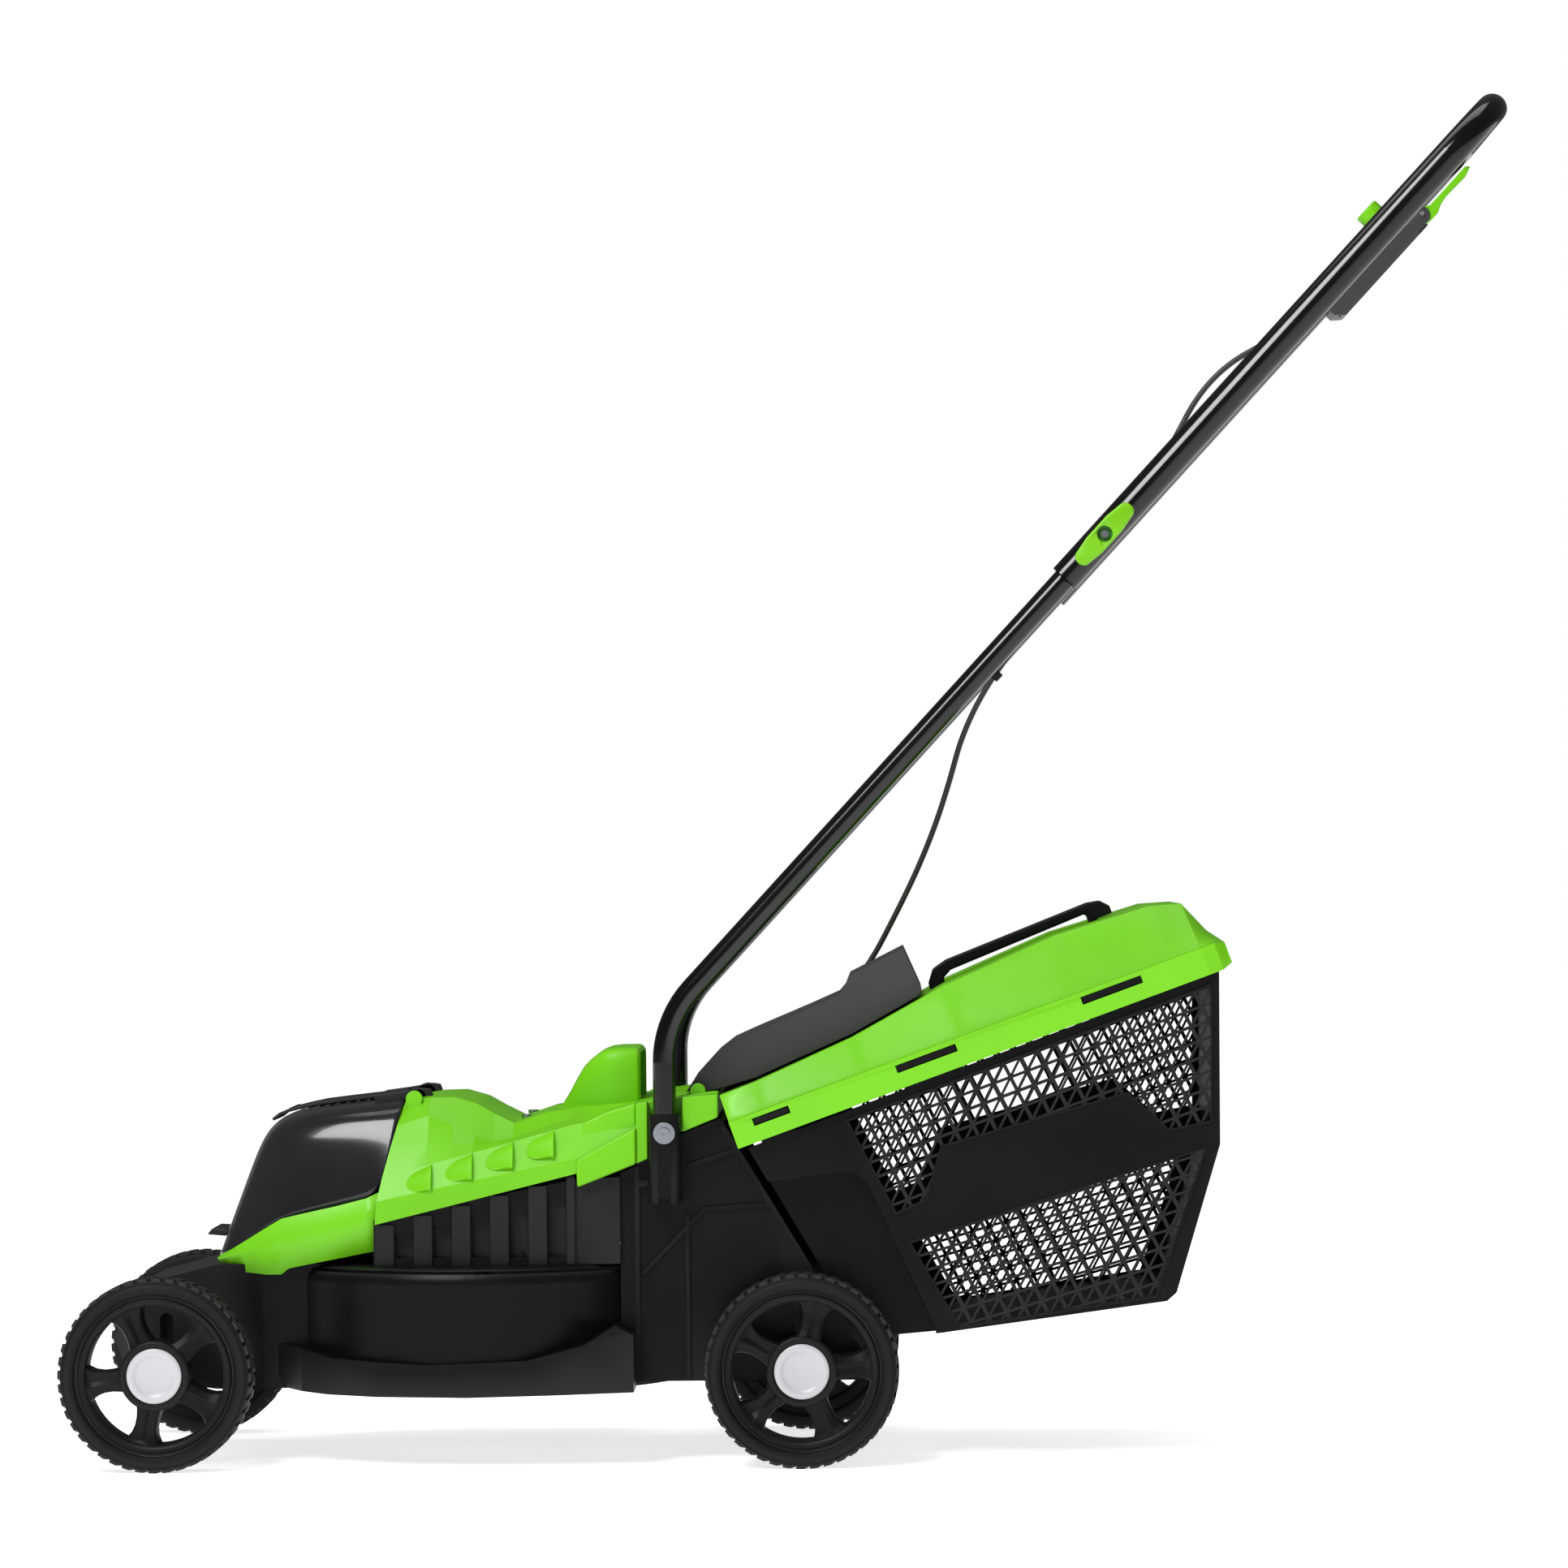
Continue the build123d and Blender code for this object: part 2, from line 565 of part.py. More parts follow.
def axle(x):
    """A steel axle with its two inner collars and the upset heads that keep the wheels on."""
    end = WHEEL_FACE_Y - 10
    bar = cyl_y(AXLE_R, x, AXLE_Z, -end, end)
    for side in (-1, 1):
        y0, y1 = sorted((side * (WHEEL_INNER_Y - 3), side * (WHEEL_INNER_Y + 0.4)))
        bar += cyl_y(9, x, AXLE_Z, y0, y1)
        y0, y1 = sorted((side * (WHEEL_FACE_Y - 14.6), side * (WHEEL_FACE_Y - 12)))
        bar += cyl_y(9, x, AXLE_Z, y0, y1)
    return bar


# ---------------------------------------------------------------- handle

def handle_point(t, up, y):
    """A point t along the handle from its fold bolt and up off its line, as row coordinates."""
    a = radians(HANDLE_ANGLE)
    return (BOLT_X + t * cos(a) - up * sin(a), y, BOLT_Z + t * sin(a) + up * cos(a))


def handle_sleeve(side):
    y0, y1 = sorted((side * REAR_HALF, side * (LEG_Y + 13)))
    body = brick(SLEEVE_X, (y0, y1), SLEEVE_Z)
    far = body.edges().filter_by(Axis.Z).group_by(Axis.Y)[0 if side < 0 else -1]
    body = fillet(far, 8)
    body -= cyl_z(LEG_R + RUNNING_GAP, LEG_X, side * LEG_Y, LEG_FOOT_Z, 300)
    body -= brick((LEG_X - 5, LEG_X + 5), sorted((side * (LEG_Y + 8), side * (LEG_Y + 15))), (216, 221))
    y0, y1 = sorted((side * (REAR_HALF - 4), side * (LEG_Y + 20)))
    return body - cyl_y(SCREW_R + RUNNING_GAP, LEG_X, SCREW_Z, y0, y1)


def sleeve_fixings():
    """The pan-head screws through the sleeves, and the washers under their heads."""
    screws, washers = [], []
    for side in (-1, 1):
        face = LEG_Y + 13
        y0, y1 = sorted((side * (face + 1.6), side * (face + 5)))
        head = cyl_y(4.6, LEG_X, SCREW_Z, y0, y1)
        head -= Pos(LEG_X, side * (face + 5), SCREW_Z) * (Box(4.4, 2.4, 1.0) + Box(1.0, 2.4, 4.4))
        y0, y1 = sorted((side * (REAR_HALF - 10), side * (face + 2)))
        screws.append(head + cyl_y(SCREW_R - RUNNING_GAP, LEG_X, SCREW_Z, y0, y1))
        y0, y1 = sorted((side * face, side * (face + 1.6)))
        washers.append(cyl_y(9, LEG_X, SCREW_Z, y0, y1) - cyl_y(SCREW_R, LEG_X, SCREW_Z, y0, y1))
    return Compound(children=screws), Compound(children=washers)


def lower_tube(side):
    y = side * LEG_Y
    corner_z = BOLT_Z - (BOLT_X - LEG_X) * tan(radians(HANDLE_ANGLE))
    top = handle_point(LEG_TOP_T, 0, y)
    path = FilletPolyline((LEG_X, y, LEG_FOOT_Z), (LEG_X, y, corner_z), top, radius=LEG_BEND_R)
    body = tube(path, LEG_R, TUBE_WALL)
    for x, z, r in ((LEG_X, SCREW_Z, SCREW_R), (BOLT_X, BOLT_Z, BOLT_R)):
        body -= cyl_y(r, x, z, y - 20, y + 20)
    return body


def upper_tube():
    """The handle's upper part: two rails beside the lower tubes, and the bar between their ends."""
    start = RAIL_END_T
    points = [handle_point(start, 0, -RAIL_Y), handle_point(BAR_T, 0, -RAIL_Y), handle_point(BAR_T, 0, RAIL_Y),
              handle_point(start, 0, RAIL_Y)]
    body = tube(FilletPolyline(*points, radius=BAR_BEND_R), TUBE_R, TUBE_WALL)
    for side in (-1, 1):
        y0, y1 = sorted((side * (RAIL_Y - 15), side * (RAIL_Y + 15)))
        body -= cyl_y(BOLT_R + RUNNING_GAP, BOLT_X, BOLT_Z, y0, y1)
    return body


def handle_bolts():
    """Carriage bolts through the lower tubes, on which the upper handle folds."""
    group = []
    for side in (-1, 1):
        y0, y1 = sorted((side * (LEG_Y - LEG_R - 1), side * (KNOB_OUTER_Y - 3)))
        bolt = cyl_y(BOLT_R, BOLT_X, BOLT_Z, y0, y1)
        y0, y1 = sorted((side * (LEG_Y - LEG_R - 4), side * (LEG_Y - LEG_R - 0.05)))
        group.append(bolt + cyl_y(7, BOLT_X, BOLT_Z, y0, y1))
    return Compound(children=group)


def wing_knob(side):
    """A two-winged knob on the fold bolt, with a round recess that shows the bolt's end."""
    y0, y1 = sorted((side * KNOB_INNER_Y, side * KNOB_OUTER_Y))
    outline = [(-32, -3), (-29, -6.5), (-12, -9), (12, -9), (29, -6.5), (32, -3), (32, 3), (29, 6.5), (12, 9),
               (-12, 9), (-29, 6.5), (-32, 3)]
    knob = HANDLE * slab(outline, y0, y1)
    knob -= cyl_y(6.6, BOLT_X, BOLT_Z, *sorted((side * (KNOB_OUTER_Y - 6), side * (KNOB_OUTER_Y + 1))))
    return knob - cyl_y(BOLT_R + RUNNING_GAP, BOLT_X, BOLT_Z, *sorted((side * 150, side * (KNOB_OUTER_Y + 1))))


# ---------------------------------------------------------------- switch box

def switch_shells():
    """The two halves of the switch box, clamped round the right-hand rail."""
    whole = brick(BOX_T, BOX_Y, BOX_UP)
    whole = chamfer(whole.edges().filter_by(Axis.Y), 7)
    whole = chamfer(whole.edges().filter_by(Axis.X), 3)
    inner = brick((BOX_T[0] + 3, BOX_T[1] - 3), (BOX_Y[0] + 3, BOX_Y[1] - 32), (BOX_UP[0] + 3, BOX_UP[1] - 3))
    rail = Pos((BOX_T[0] + BOX_T[1]) / 2, RAIL_Y, 0) * Rot(0, 90, 0) * Cylinder(TUBE_R + RUNNING_GAP, 200)
    whole -= inner
    whole -= rail
    whole -= Pos(BUTTON_T, BUTTON_Y, 10) * Cylinder(BUTTON_R + FREE_GAP, 20)
    whole -= brick((400, 425), (LEVER_Y[0] - FREE_GAP, LEVER_Y[1] + FREE_GAP), (-25, -3))
    whole -= Pos(BOX_T[0], 141, 2) * Rot(0, 90, 0) * Cylinder(4.5, 10)
    upper = whole & brick((280, 440), (100, 200), (0.0, 40))
    lower = whole & brick((280, 440), (100, 200), (-40, 0.0))
    pin = Pos(LEVER_PIVOT[0], 0, LEVER_PIVOT[1])
    hole = pin * Pos(0, (LEVER_Y[0] + LEVER_Y[1]) / 2, 0) * Rot(90, 0, 0) * Cylinder(2, 30)
    return HANDLE * (lower - hole), HANDLE * upper


def strain_relief():
    """A tapered rubber boot at the switch box's lower end."""
    boot = Pos(BOX_T[0] - 10, 141, 2) * Rot(0, -90, 0) * Cone(4.4, 3.0, 20)
    collar = Pos(BOX_T[0] + 1.5, 141, 2) * Rot(0, 90, 0) * Cylinder(4.4, 3)
    bore = Pos(BOX_T[0] - 10, 141, 2) * Rot(0, 90, 0) * Cylinder(CABLE_R, 30)
    return HANDLE * (boot + collar - bore)


def microswitch():
    return HANDLE * brick((372, 396), (134, 148), (-16, -4))


def power_button():
    stem = Pos(BUTTON_T, BUTTON_Y, 15.5) * Cylinder(BUTTON_R, 19)
    stem = fillet(stem.edges().filter_by(GeomType.CIRCLE).sort_by(Axis.Z)[-1], 2)
    return HANDLE * (stem + Pos(BUTTON_T, BUTTON_Y, 3) * Cylinder(3, 6))


def button_spring():
    coil = Helix(pitch=2.0, height=7.2, radius=4.6)
    wire = sweep(Plane(origin=coil @ 0, z_dir=coil % 0) * Circle(0.4), path=coil)
    return HANDLE * Pos(BUTTON_T, BUTTON_Y, -1.8) * wire


def power_lever():
    """The paddle under the switch box that runs the motor while it is held."""
    y0, y1 = LEVER_Y
    outline = [(409, -18), (411, -9), (418, -9), (424, -14.2), (440, -14.2), (470, -14.2), (473, -17.5), (464, -20.5),
               (440, -19.5), (431, -21), (424, -24), (416, -24), (411, -22)]
    paddle = slab(outline, y0, y1)
    paddle -= cyl_y(2 + RUNNING_GAP, LEVER_PIVOT[0], LEVER_PIVOT[1], y0 - 1, y1 + 1)
    return HANDLE * paddle


def lever_pin():
    return HANDLE * cyl_y(2, LEVER_PIVOT[0], LEVER_PIVOT[1], (LEVER_Y[0] + LEVER_Y[1]) / 2 - 15,
                          (LEVER_Y[0] + LEVER_Y[1]) / 2 + 15)


# ---------------------------------------------------------------- rear flap

FLAP_TOP = [(-85, 307), (-75, 323), (-62, 337), (-49, 347), (-31, 355), (17, 375), (42, 386), (47, 392), (51, 402),
            (97, 425), (112, 391)]
FLAP_SKIRT = [(110, 386), (54, 354.6), (-27, 318.6), (-60, 309), (-68, 308)]
FLAP_UNDER = [(108, 391.5), (95, 421), (54, 399.6), (50, 389.5), (44, 383.4), (18, 372), (-30, 352), (-47, 344.4),
              (-60, 334.6), (-70, 322), (-76, 313.2), (-69, 311.6)]


def rear_flap():
    outer = slab(FLAP_TOP + FLAP_SKIRT, -FLAP_HALF, FLAP_HALF)
    hollow = slab(FLAP_UNDER + [(-62, 314.4), (-62, 300), (120, 380)], -FLAP_HALF + SKIN, FLAP_HALF - SKIN)
    body = outer - hollow
    body += cyl_y(6, FLAP_X, FLAP_Z, -FLAP_HALF, FLAP_HALF)
    body -= brick((-90, -60), (-30.5, 30.5), (296, 316))
    return body - cyl_y(FLAP_ROD_R + RUNNING_GAP, FLAP_X, FLAP_Z, -130, 130)


def flap_rod():
    return cyl_y(FLAP_ROD_R, FLAP_X, FLAP_Z, -117.5, 117.5)


def flap_spring():
    """The torsion spring that closes the flap, wound round its rod."""
    coil = Helix(pitch=2.2, height=44.0, radius=FLAP_ROD_R + 1.0)
    wire = sweep(Plane(origin=coil @ 0, z_dir=coil % 0) * Circle(0.75), path=coil)
    return Pos(FLAP_X, -22, FLAP_Z) * Rot(-90, 0, 0) * wire


# ---------------------------------------------------------------- grass box

LID_STATIONS = [
    (-4, [(LID_HALF, 0), (LID_HALF, 23), (152, 24), (140, 46)]),
    (27, [(LID_HALF, 0), (LID_HALF, 23), (152, 24), (138, 46.5)]),
    (115, [(LID_HALF, 0), (LID_HALF, 23), (152, 24), (130, 53)]),
    (202, [(LID_HALF, 0), (LID_HALF, 23), (152, 24), (122, 67)]),
    (303, [(LID_HALF, 0), (LID_HALF, 23), (152, 24), (114, 73.7)]),
    (385, [(LID_HALF, 0), (LID_HALF, 23), (152, 24), (110, 69.5)]),
    (411, [(157, 0), (157, 23), (149, 24), (106, 62)]),
    (423, [(154, 0), (154, 23), (142, 24), (104, 34)]),
    (432, [(146, 3), (146, 20), (134, 21), (100, 22)]),
]
LID_SLOTS = ((15.0, 47.0), (141.0, 194.0), (304.0, 357.0))
BASKET = [(-33, 262), (21, 170), (60, 104), (90, 105), (125, 108), (312, 133), (320, 140), (357, 262), (357.5, 405),
          (352, 403)]
RECESS = [(-80, 226), (40, 241), (56, 241), (66, 231), (121, 111), (121, 60), (-80, 60)]


def lid_inner():
    """The lid's inner space: its cross-sections drawn in by the skin."""
    sections = []
    for x, corners in LID_STATIONS:
        drawn = [(w - SKIN, z - SKIN if i > 1 else z - 4 + i) for i, (w, z) in enumerate(corners)]
        sections.append((min(max(x, -10), 420), drawn))
    return stations(sections[:-1])


def box_lid():
    body = stations(LID_STATIONS) - lid_inner()
    recess = brick((188, 345), (-34, 34), (44, 90))
    pan = brick((185, 348), (-37, 37), (41, 72)) - recess
    pan &= stations(LID_STATIONS)
    body = body - recess + pan
    for x0, x1 in LID_SLOTS:
        body -= brick((x0, x1), (-LID_HALF - 2, LID_HALF + 2), (13, 19.5)) - brick((x0 - 1, x1 + 1), (-140, 140), (0, 60))
    return LID * body


def basket_walls(half, outline, recess_half):
    body = slab(outline, -half, half)
    for side in (-1, 1):
        y0, y1 = sorted((side * recess_half, side * (half + 5)))
        body -= slab(RECESS, y0, y1)
    return body


def basket():
    outer = basket_walls(BASKET_HALF, BASKET, RECESS_HALF)
    s = BASKET_SKIN
    inner_outline = [(-60, 262), (-14, 222), (22, 174), (62, 107), (90, 107.6), (125, 110.6), (311, 135.5), (317.6, 141),
                     (354.4, 262.4), (355, 440), (-60, 300)]
    inner = slab(inner_outline, -BASKET_HALF + s, BASKET_HALF - s)
    for side in (-1, 1):
        y0, y1 = sorted((side * (RECESS_HALF - s), side * (BASKET_HALF + 5)))
        grown = [(-90, 228.5), (41, 243.5), (57.4, 243.5), (68.4, 232), (123.6, 111.5), (123.6, 50), (-90, 50)]
        inner -= slab(grown, y0, y1)
    body = outer - inner
    for x0, x1 in LID_SLOTS:
        tongue = brick((x0 + 1, x1 - 1), (-LID_HALF + 0.6, LID_HALF - 0.6), (14, 18.5))
        tongue -= brick((x0, x1), (-BASKET_HALF + 1, BASKET_HALF - 1), (0, 60))
        post = brick((x0 + 1, x1 - 1), (-BASKET_HALF, BASKET_HALF), (-4, 18.5))
        post -= brick((x0, x1), (-BASKET_HALF + s, BASKET_HALF - s), (-10, 60))
        body += LID * (tongue + post)
    return body


def box_handle():
    """The carrying handle that stands on the lid."""
    outline = [(190, 44), (190, 70), (198, 80.5), (211, 84), (340, 88), (351, 86), (357.5, 79), (357.5, 72.4),
               (343, 72.4), (343, 44), (336, 44), (336, 79.5), (212, 74.5), (204, 70), (204, 44)]
    return LID * slab(outline, -12, 12)


# ---------------------------------------------------------------- cable

def cable_points():
    """The cable's route from the switch box to the hood's gland, in row coordinates."""
    along = [(276.4, 2.1, 141), (243, 10, 141), (205, 23.5, 141), (165, 24.5, 141), (122, 13, 140), (80, 5, 135),
             (38, 0, 128), (-8, -3, 125.4), (-60, -4.6, 124.4), (-112, -5.4, 124.6), (-158, -12, 125)]
    points = [handle_point(t, up, y) for t, up, y in along]
    hanging = [(149, 603), (140, 570), (127, 530), (110, 489), (90, 449), (68, 408), (36, 368)]
    points += [(x, CABLE_Y, z) for x, z in hanging]
    points += [(-8, 126, 346), (-46, 128, 338), (-68, GLAND_Y, 328), (GLAND_X, GLAND_Y, GLAND_TOP + 0.6)]
    return points


def cable():
    points = [Vector(*p) for p in cable_points()]
    radii = []
    for a, b, c in zip(points, points[1:], points[2:]):
        turn = (b - a).get_angle(c - b)
        shorter = min((b - a).length, (c - b).length)
        radii.append(0.45 * shorter / tan(radians(turn / 2)))
    print("cable radii", [round(r) for r in radii])
    path = FilletPolyline(*points, radius=radii)
    body = tube(path, CABLE_R)
    share = body.volume / (pi * CABLE_R ** 2 * path.length)
    print("cable length", round(path.length, 1), "volume share", round(share, 4))
    return body


def cable_gland():
    boot = cyl_z(GLAND_R - RUNNING_GAP, GLAND_X, GLAND_Y, 292, GLAND_SEAT)
    boot += cyl_z(GLAND_FLANGE_R, GLAND_X, GLAND_Y, GLAND_SEAT, GLAND_TOP)
    return boot - cyl_z(CABLE_R, GLAND_X, GLAND_Y, 280, 310)


def cable_clip():
    """A clip on the right-hand lower tube with an eye that the cable runs through."""
    along = Rot(0, 90, 0)
    eye_y = CABLE_Y - 0.2
    reach = ((LEG_Y - eye_y) ** 2 + CLIP_UP ** 2) ** 0.5
    share = 13.8 / reach
    tilt = 25.5
    clip = Pos(CLIP_T, LEG_Y, 0) * along * Cylinder(LEG_R + 2, 8)
    clip += Pos(CLIP_T, eye_y, CLIP_UP) * along * Cylinder(5.6, 8)
    clip += Pos(CLIP_T, LEG_Y - (LEG_Y - eye_y) * share, CLIP_UP * share) * Rot(tilt, 0, 0) * Box(8, 9, 3)
    clip -= Pos(CLIP_T, LEG_Y, 0) * along * Cylinder(LEG_R, 14)
    clip -= Pos(CLIP_T, eye_y, CLIP_UP) * along * Cylinder(3.5, 14)
    return HANDLE * clip


# ---------------------------------------------------------------- output

def write(name, shape):
    export_step(shape, f"parts/{name}.step")


def main():
    write("deck", deck())
    write("vent_housing", vent_housing())
    write("hood", hood())
    write("hood_screws", hood_screws())
    write("cover_window", cover_window())
    write("cover_arms", cover_arms())
    write("cover_pin", cover_pin())
    write("battery_tray", battery_tray())
    write("battery_pack", battery_pack())
    write("battery_latch", battery_latch())
    write("battery_terminals", battery_terminals())
    write("safety_key", safety_key())
    write("motor_can", motor_can())
    write("motor_shaft", motor_shaft())
    write("cooling_fan", cooling_fan())
    write("blade_adapter", blade_adapter())
    write("blade", blade())
    write("blade_bolt", blade_bolt())
    write("control_board", control_board())
    for name, (x, side, angle) in WHEELS.items():
        for part, shape in wheel_parts(x, side, angle).items():
            write(f"{name}_{part}", shape)
    write("front_axle", axle(FRONT_X))
    write("rear_axle", axle(REAR_X))
    screws, washers = sleeve_fixings()
    write("sleeve_screws", screws)
    write("sleeve_washers", washers)
    for name, side in SIDES.items():
        write(f"handle_sleeve_{name}", handle_sleeve(side))
        write(f"lower_tube_{name}", lower_tube(side))
        write(f"wing_knob_{name}", wing_knob(side))
    write("upper_tube", upper_tube())
    write("handle_bolts", handle_bolts())
    lower, upper = switch_shells()
    write("switch_housing", lower)
    write("switch_cover", upper)
    write("strain_relief", strain_relief())
    write("microswitch", microswitch())
    write("power_button", power_button())
    write("button_spring", button_spring())
    write("power_lever", power_lever())
    write("lever_pin", lever_pin())
    write("rear_flap", rear_flap())
    write("flap_rod", flap_rod())
    write("flap_spring", flap_spring())
    write("box_lid", box_lid())
    write("basket", basket())
    write("box_handle", box_handle())
    write("power_cable", cable())
    write("cable_gland", cable_gland())
    write("cable_clip", cable_clip())


main()
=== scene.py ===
"""Looks for the battery push mower.

Smooth moulded shells, a tinted cover, a lattice basket, treaded wheels and gloss tubes ride on the CAD's bodies.
Sizes are millimetres in the CAD's frame unless a name says otherwise, and turn into metres as meshes are made.
"""

from math import cos, hypot, pi, radians, sin, sqrt

import bmesh
import bpy
from mathutils import Matrix, Vector
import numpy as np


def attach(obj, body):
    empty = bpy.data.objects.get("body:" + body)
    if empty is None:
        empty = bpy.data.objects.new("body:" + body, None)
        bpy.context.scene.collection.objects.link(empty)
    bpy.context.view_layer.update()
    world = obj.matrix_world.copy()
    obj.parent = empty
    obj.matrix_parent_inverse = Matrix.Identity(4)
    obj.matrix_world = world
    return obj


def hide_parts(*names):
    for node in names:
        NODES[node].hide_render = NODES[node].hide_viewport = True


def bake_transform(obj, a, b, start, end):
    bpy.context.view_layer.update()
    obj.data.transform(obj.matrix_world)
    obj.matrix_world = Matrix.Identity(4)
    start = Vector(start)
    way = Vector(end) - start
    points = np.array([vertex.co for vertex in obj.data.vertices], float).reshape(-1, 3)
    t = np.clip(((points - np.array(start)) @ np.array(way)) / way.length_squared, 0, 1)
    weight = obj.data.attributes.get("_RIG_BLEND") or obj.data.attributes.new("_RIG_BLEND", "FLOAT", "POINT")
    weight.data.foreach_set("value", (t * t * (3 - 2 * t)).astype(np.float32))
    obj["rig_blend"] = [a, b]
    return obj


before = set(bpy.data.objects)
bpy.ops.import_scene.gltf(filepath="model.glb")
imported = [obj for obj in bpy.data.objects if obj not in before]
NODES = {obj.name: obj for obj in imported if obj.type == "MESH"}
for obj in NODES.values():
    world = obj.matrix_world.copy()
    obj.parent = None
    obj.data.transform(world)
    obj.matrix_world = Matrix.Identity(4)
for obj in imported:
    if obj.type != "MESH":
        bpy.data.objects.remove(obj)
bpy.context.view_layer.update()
MM = 0.001
SIDES = (("left", -1), ("right", 1))

# The same driving sizes as the CAD, in millimetres
WHEEL_R, WHEEL_FACE_Y, AXLE_Z = 80.0, 187.0, 80.0
WHEELS = {
    "front_left": (-522.0, -1, 43.0),
    "front_right": (-522.0, 1, 43.0),
    "rear_left": (10.5, -1, 6.0),
    "rear_right": (10.5, 1, 6.0),
}
BOLT_X, BOLT_Z, HANDLE_ANGLE = 265.0, 765.0, 47.25


# ---------------------------------------------------------------- camera and light

# Metres, degrees and watts
LENS_MM, SENSOR_MM, FAR_CLIP = 134.3, 36.0, 60
CAMERA_PLACE = (0.0894, -4.987, 0.5062)
CAMERA_YAW, CAMERA_PITCH, CAMERA_ROLL = 1.065, 90.668, -0.5
BACKDROP, SKY_LIGHT, SKY_IN_REFLECTIONS = 1.0, 0.32, 0.10
FLOOR_HALF, FLOOR_GLOW = 14.0, 0.74
KEY_PLACE, KEY_TARGET, KEY_SIZE, KEY_POWER = (-1.3, -2.3, 2.9), (0, 0, 0.35), (1.4, 1.4), 112
TOP_PLACE, TOP_TARGET, TOP_SIZE, TOP_POWER = (0.0, 0.2, 3.0), (0, 0, 0.3), (2.4, 1.2), 22


def camera():
    """The camera stands 5 m to the mower's left, at about half its height."""
    data = bpy.data.cameras.new("camera")
    data.lens = LENS_MM
    data.sensor_width = SENSOR_MM
    data.clip_end = FAR_CLIP
    obj = bpy.data.objects.new("camera", data)
    turn = Matrix.Rotation(radians(CAMERA_YAW), 4, "Z") @ Matrix.Rotation(radians(CAMERA_PITCH), 4, "X")
    roll = Matrix.Rotation(radians(CAMERA_ROLL), 4, "Z")
    obj.matrix_world = Matrix.Translation(CAMERA_PLACE) @ turn @ roll
    bpy.context.collection.objects.link(obj)
    bpy.context.scene.camera = obj


def area_light(name, place, target, size, power):
    """A soft rectangular lamp aimed at a target."""
    data = bpy.data.lights.new(name, "AREA")
    data.shape = "RECTANGLE"
    data.size, data.size_y = size
    data.energy = power
    obj = bpy.data.objects.new(name, data)
    obj.location = place
    obj.rotation_euler = (Vector(target) - Vector(place)).to_track_quat("-Z", "Y").to_euler()
    bpy.context.collection.objects.link(obj)


def sky():
    """A white backdrop that lights the mower less than it shows, and reflects less still."""
    world = bpy.data.worlds.new("studio")
    bpy.context.scene.world = world
    world.use_nodes = True
    tree = world.node_tree
    background = tree.nodes["Background"]
    background.inputs["Color"].default_value = (1, 1, 1, 1)
    rays = tree.nodes.new("ShaderNodeLightPath")
    seen = tree.nodes.new("ShaderNodeMapRange")
    seen.inputs["To Max"].default_value = BACKDROP
    lit = tree.nodes.new("ShaderNodeMapRange")
    lit.inputs["To Min"].default_value = SKY_LIGHT
    lit.inputs["To Max"].default_value = SKY_IN_REFLECTIONS
    tree.links.new(rays.outputs["Is Glossy Ray"], lit.inputs["Value"])
    tree.links.new(lit.outputs["Result"], seen.inputs["To Min"])
    tree.links.new(rays.outputs["Is Camera Ray"], seen.inputs["Value"])
    tree.links.new(seen.outputs["Result"], background.inputs["Strength"])


def paper_floor():
    """A plain pale floor with a glow of its own, so that it meets the backdrop without a line."""
    mesh = bpy.data.meshes.new("floor")
    h = FLOOR_HALF
    mesh.from_pydata([(-h, -h, 0), (h, -h, 0), (h, h, 0), (-h, h, 0)], [], [(0, 1, 2, 3)])
    obj = bpy.data.objects.new("floor", mesh)
    bpy.context.collection.objects.link(obj)
    paper = bpy.data.materials.new("paper_floor")
    paper.use_nodes = True
    shader = paper.node_tree.nodes["Principled BSDF"]
    shader.inputs["Base Color"].default_value = (0.94, 0.94, 0.94, 1)
    shader.inputs["Roughness"].default_value = 0.9
    shader.inputs["Specular IOR Level"].default_value = 0.0
    shader.inputs["Emission Color"].default_value = (1, 1, 1, 1)
    shader.inputs["Emission Strength"].default_value = FLOOR_GLOW
    mesh.materials.append(paper)


def studio():
    sky()
    bpy.context.scene.view_settings.view_transform = "Standard"
    area_light("key", KEY_PLACE, KEY_TARGET, KEY_SIZE, KEY_POWER)
    area_light("top", TOP_PLACE, TOP_TARGET, TOP_SIZE, TOP_POWER)
    paper_floor()


# ---------------------------------------------------------------- materials

def add(tree, kind, **inputs):
    node = tree.nodes.new(kind)
    for name, value in inputs.items():
        node.inputs[name.replace("_", " ")].default_value = value
    return node


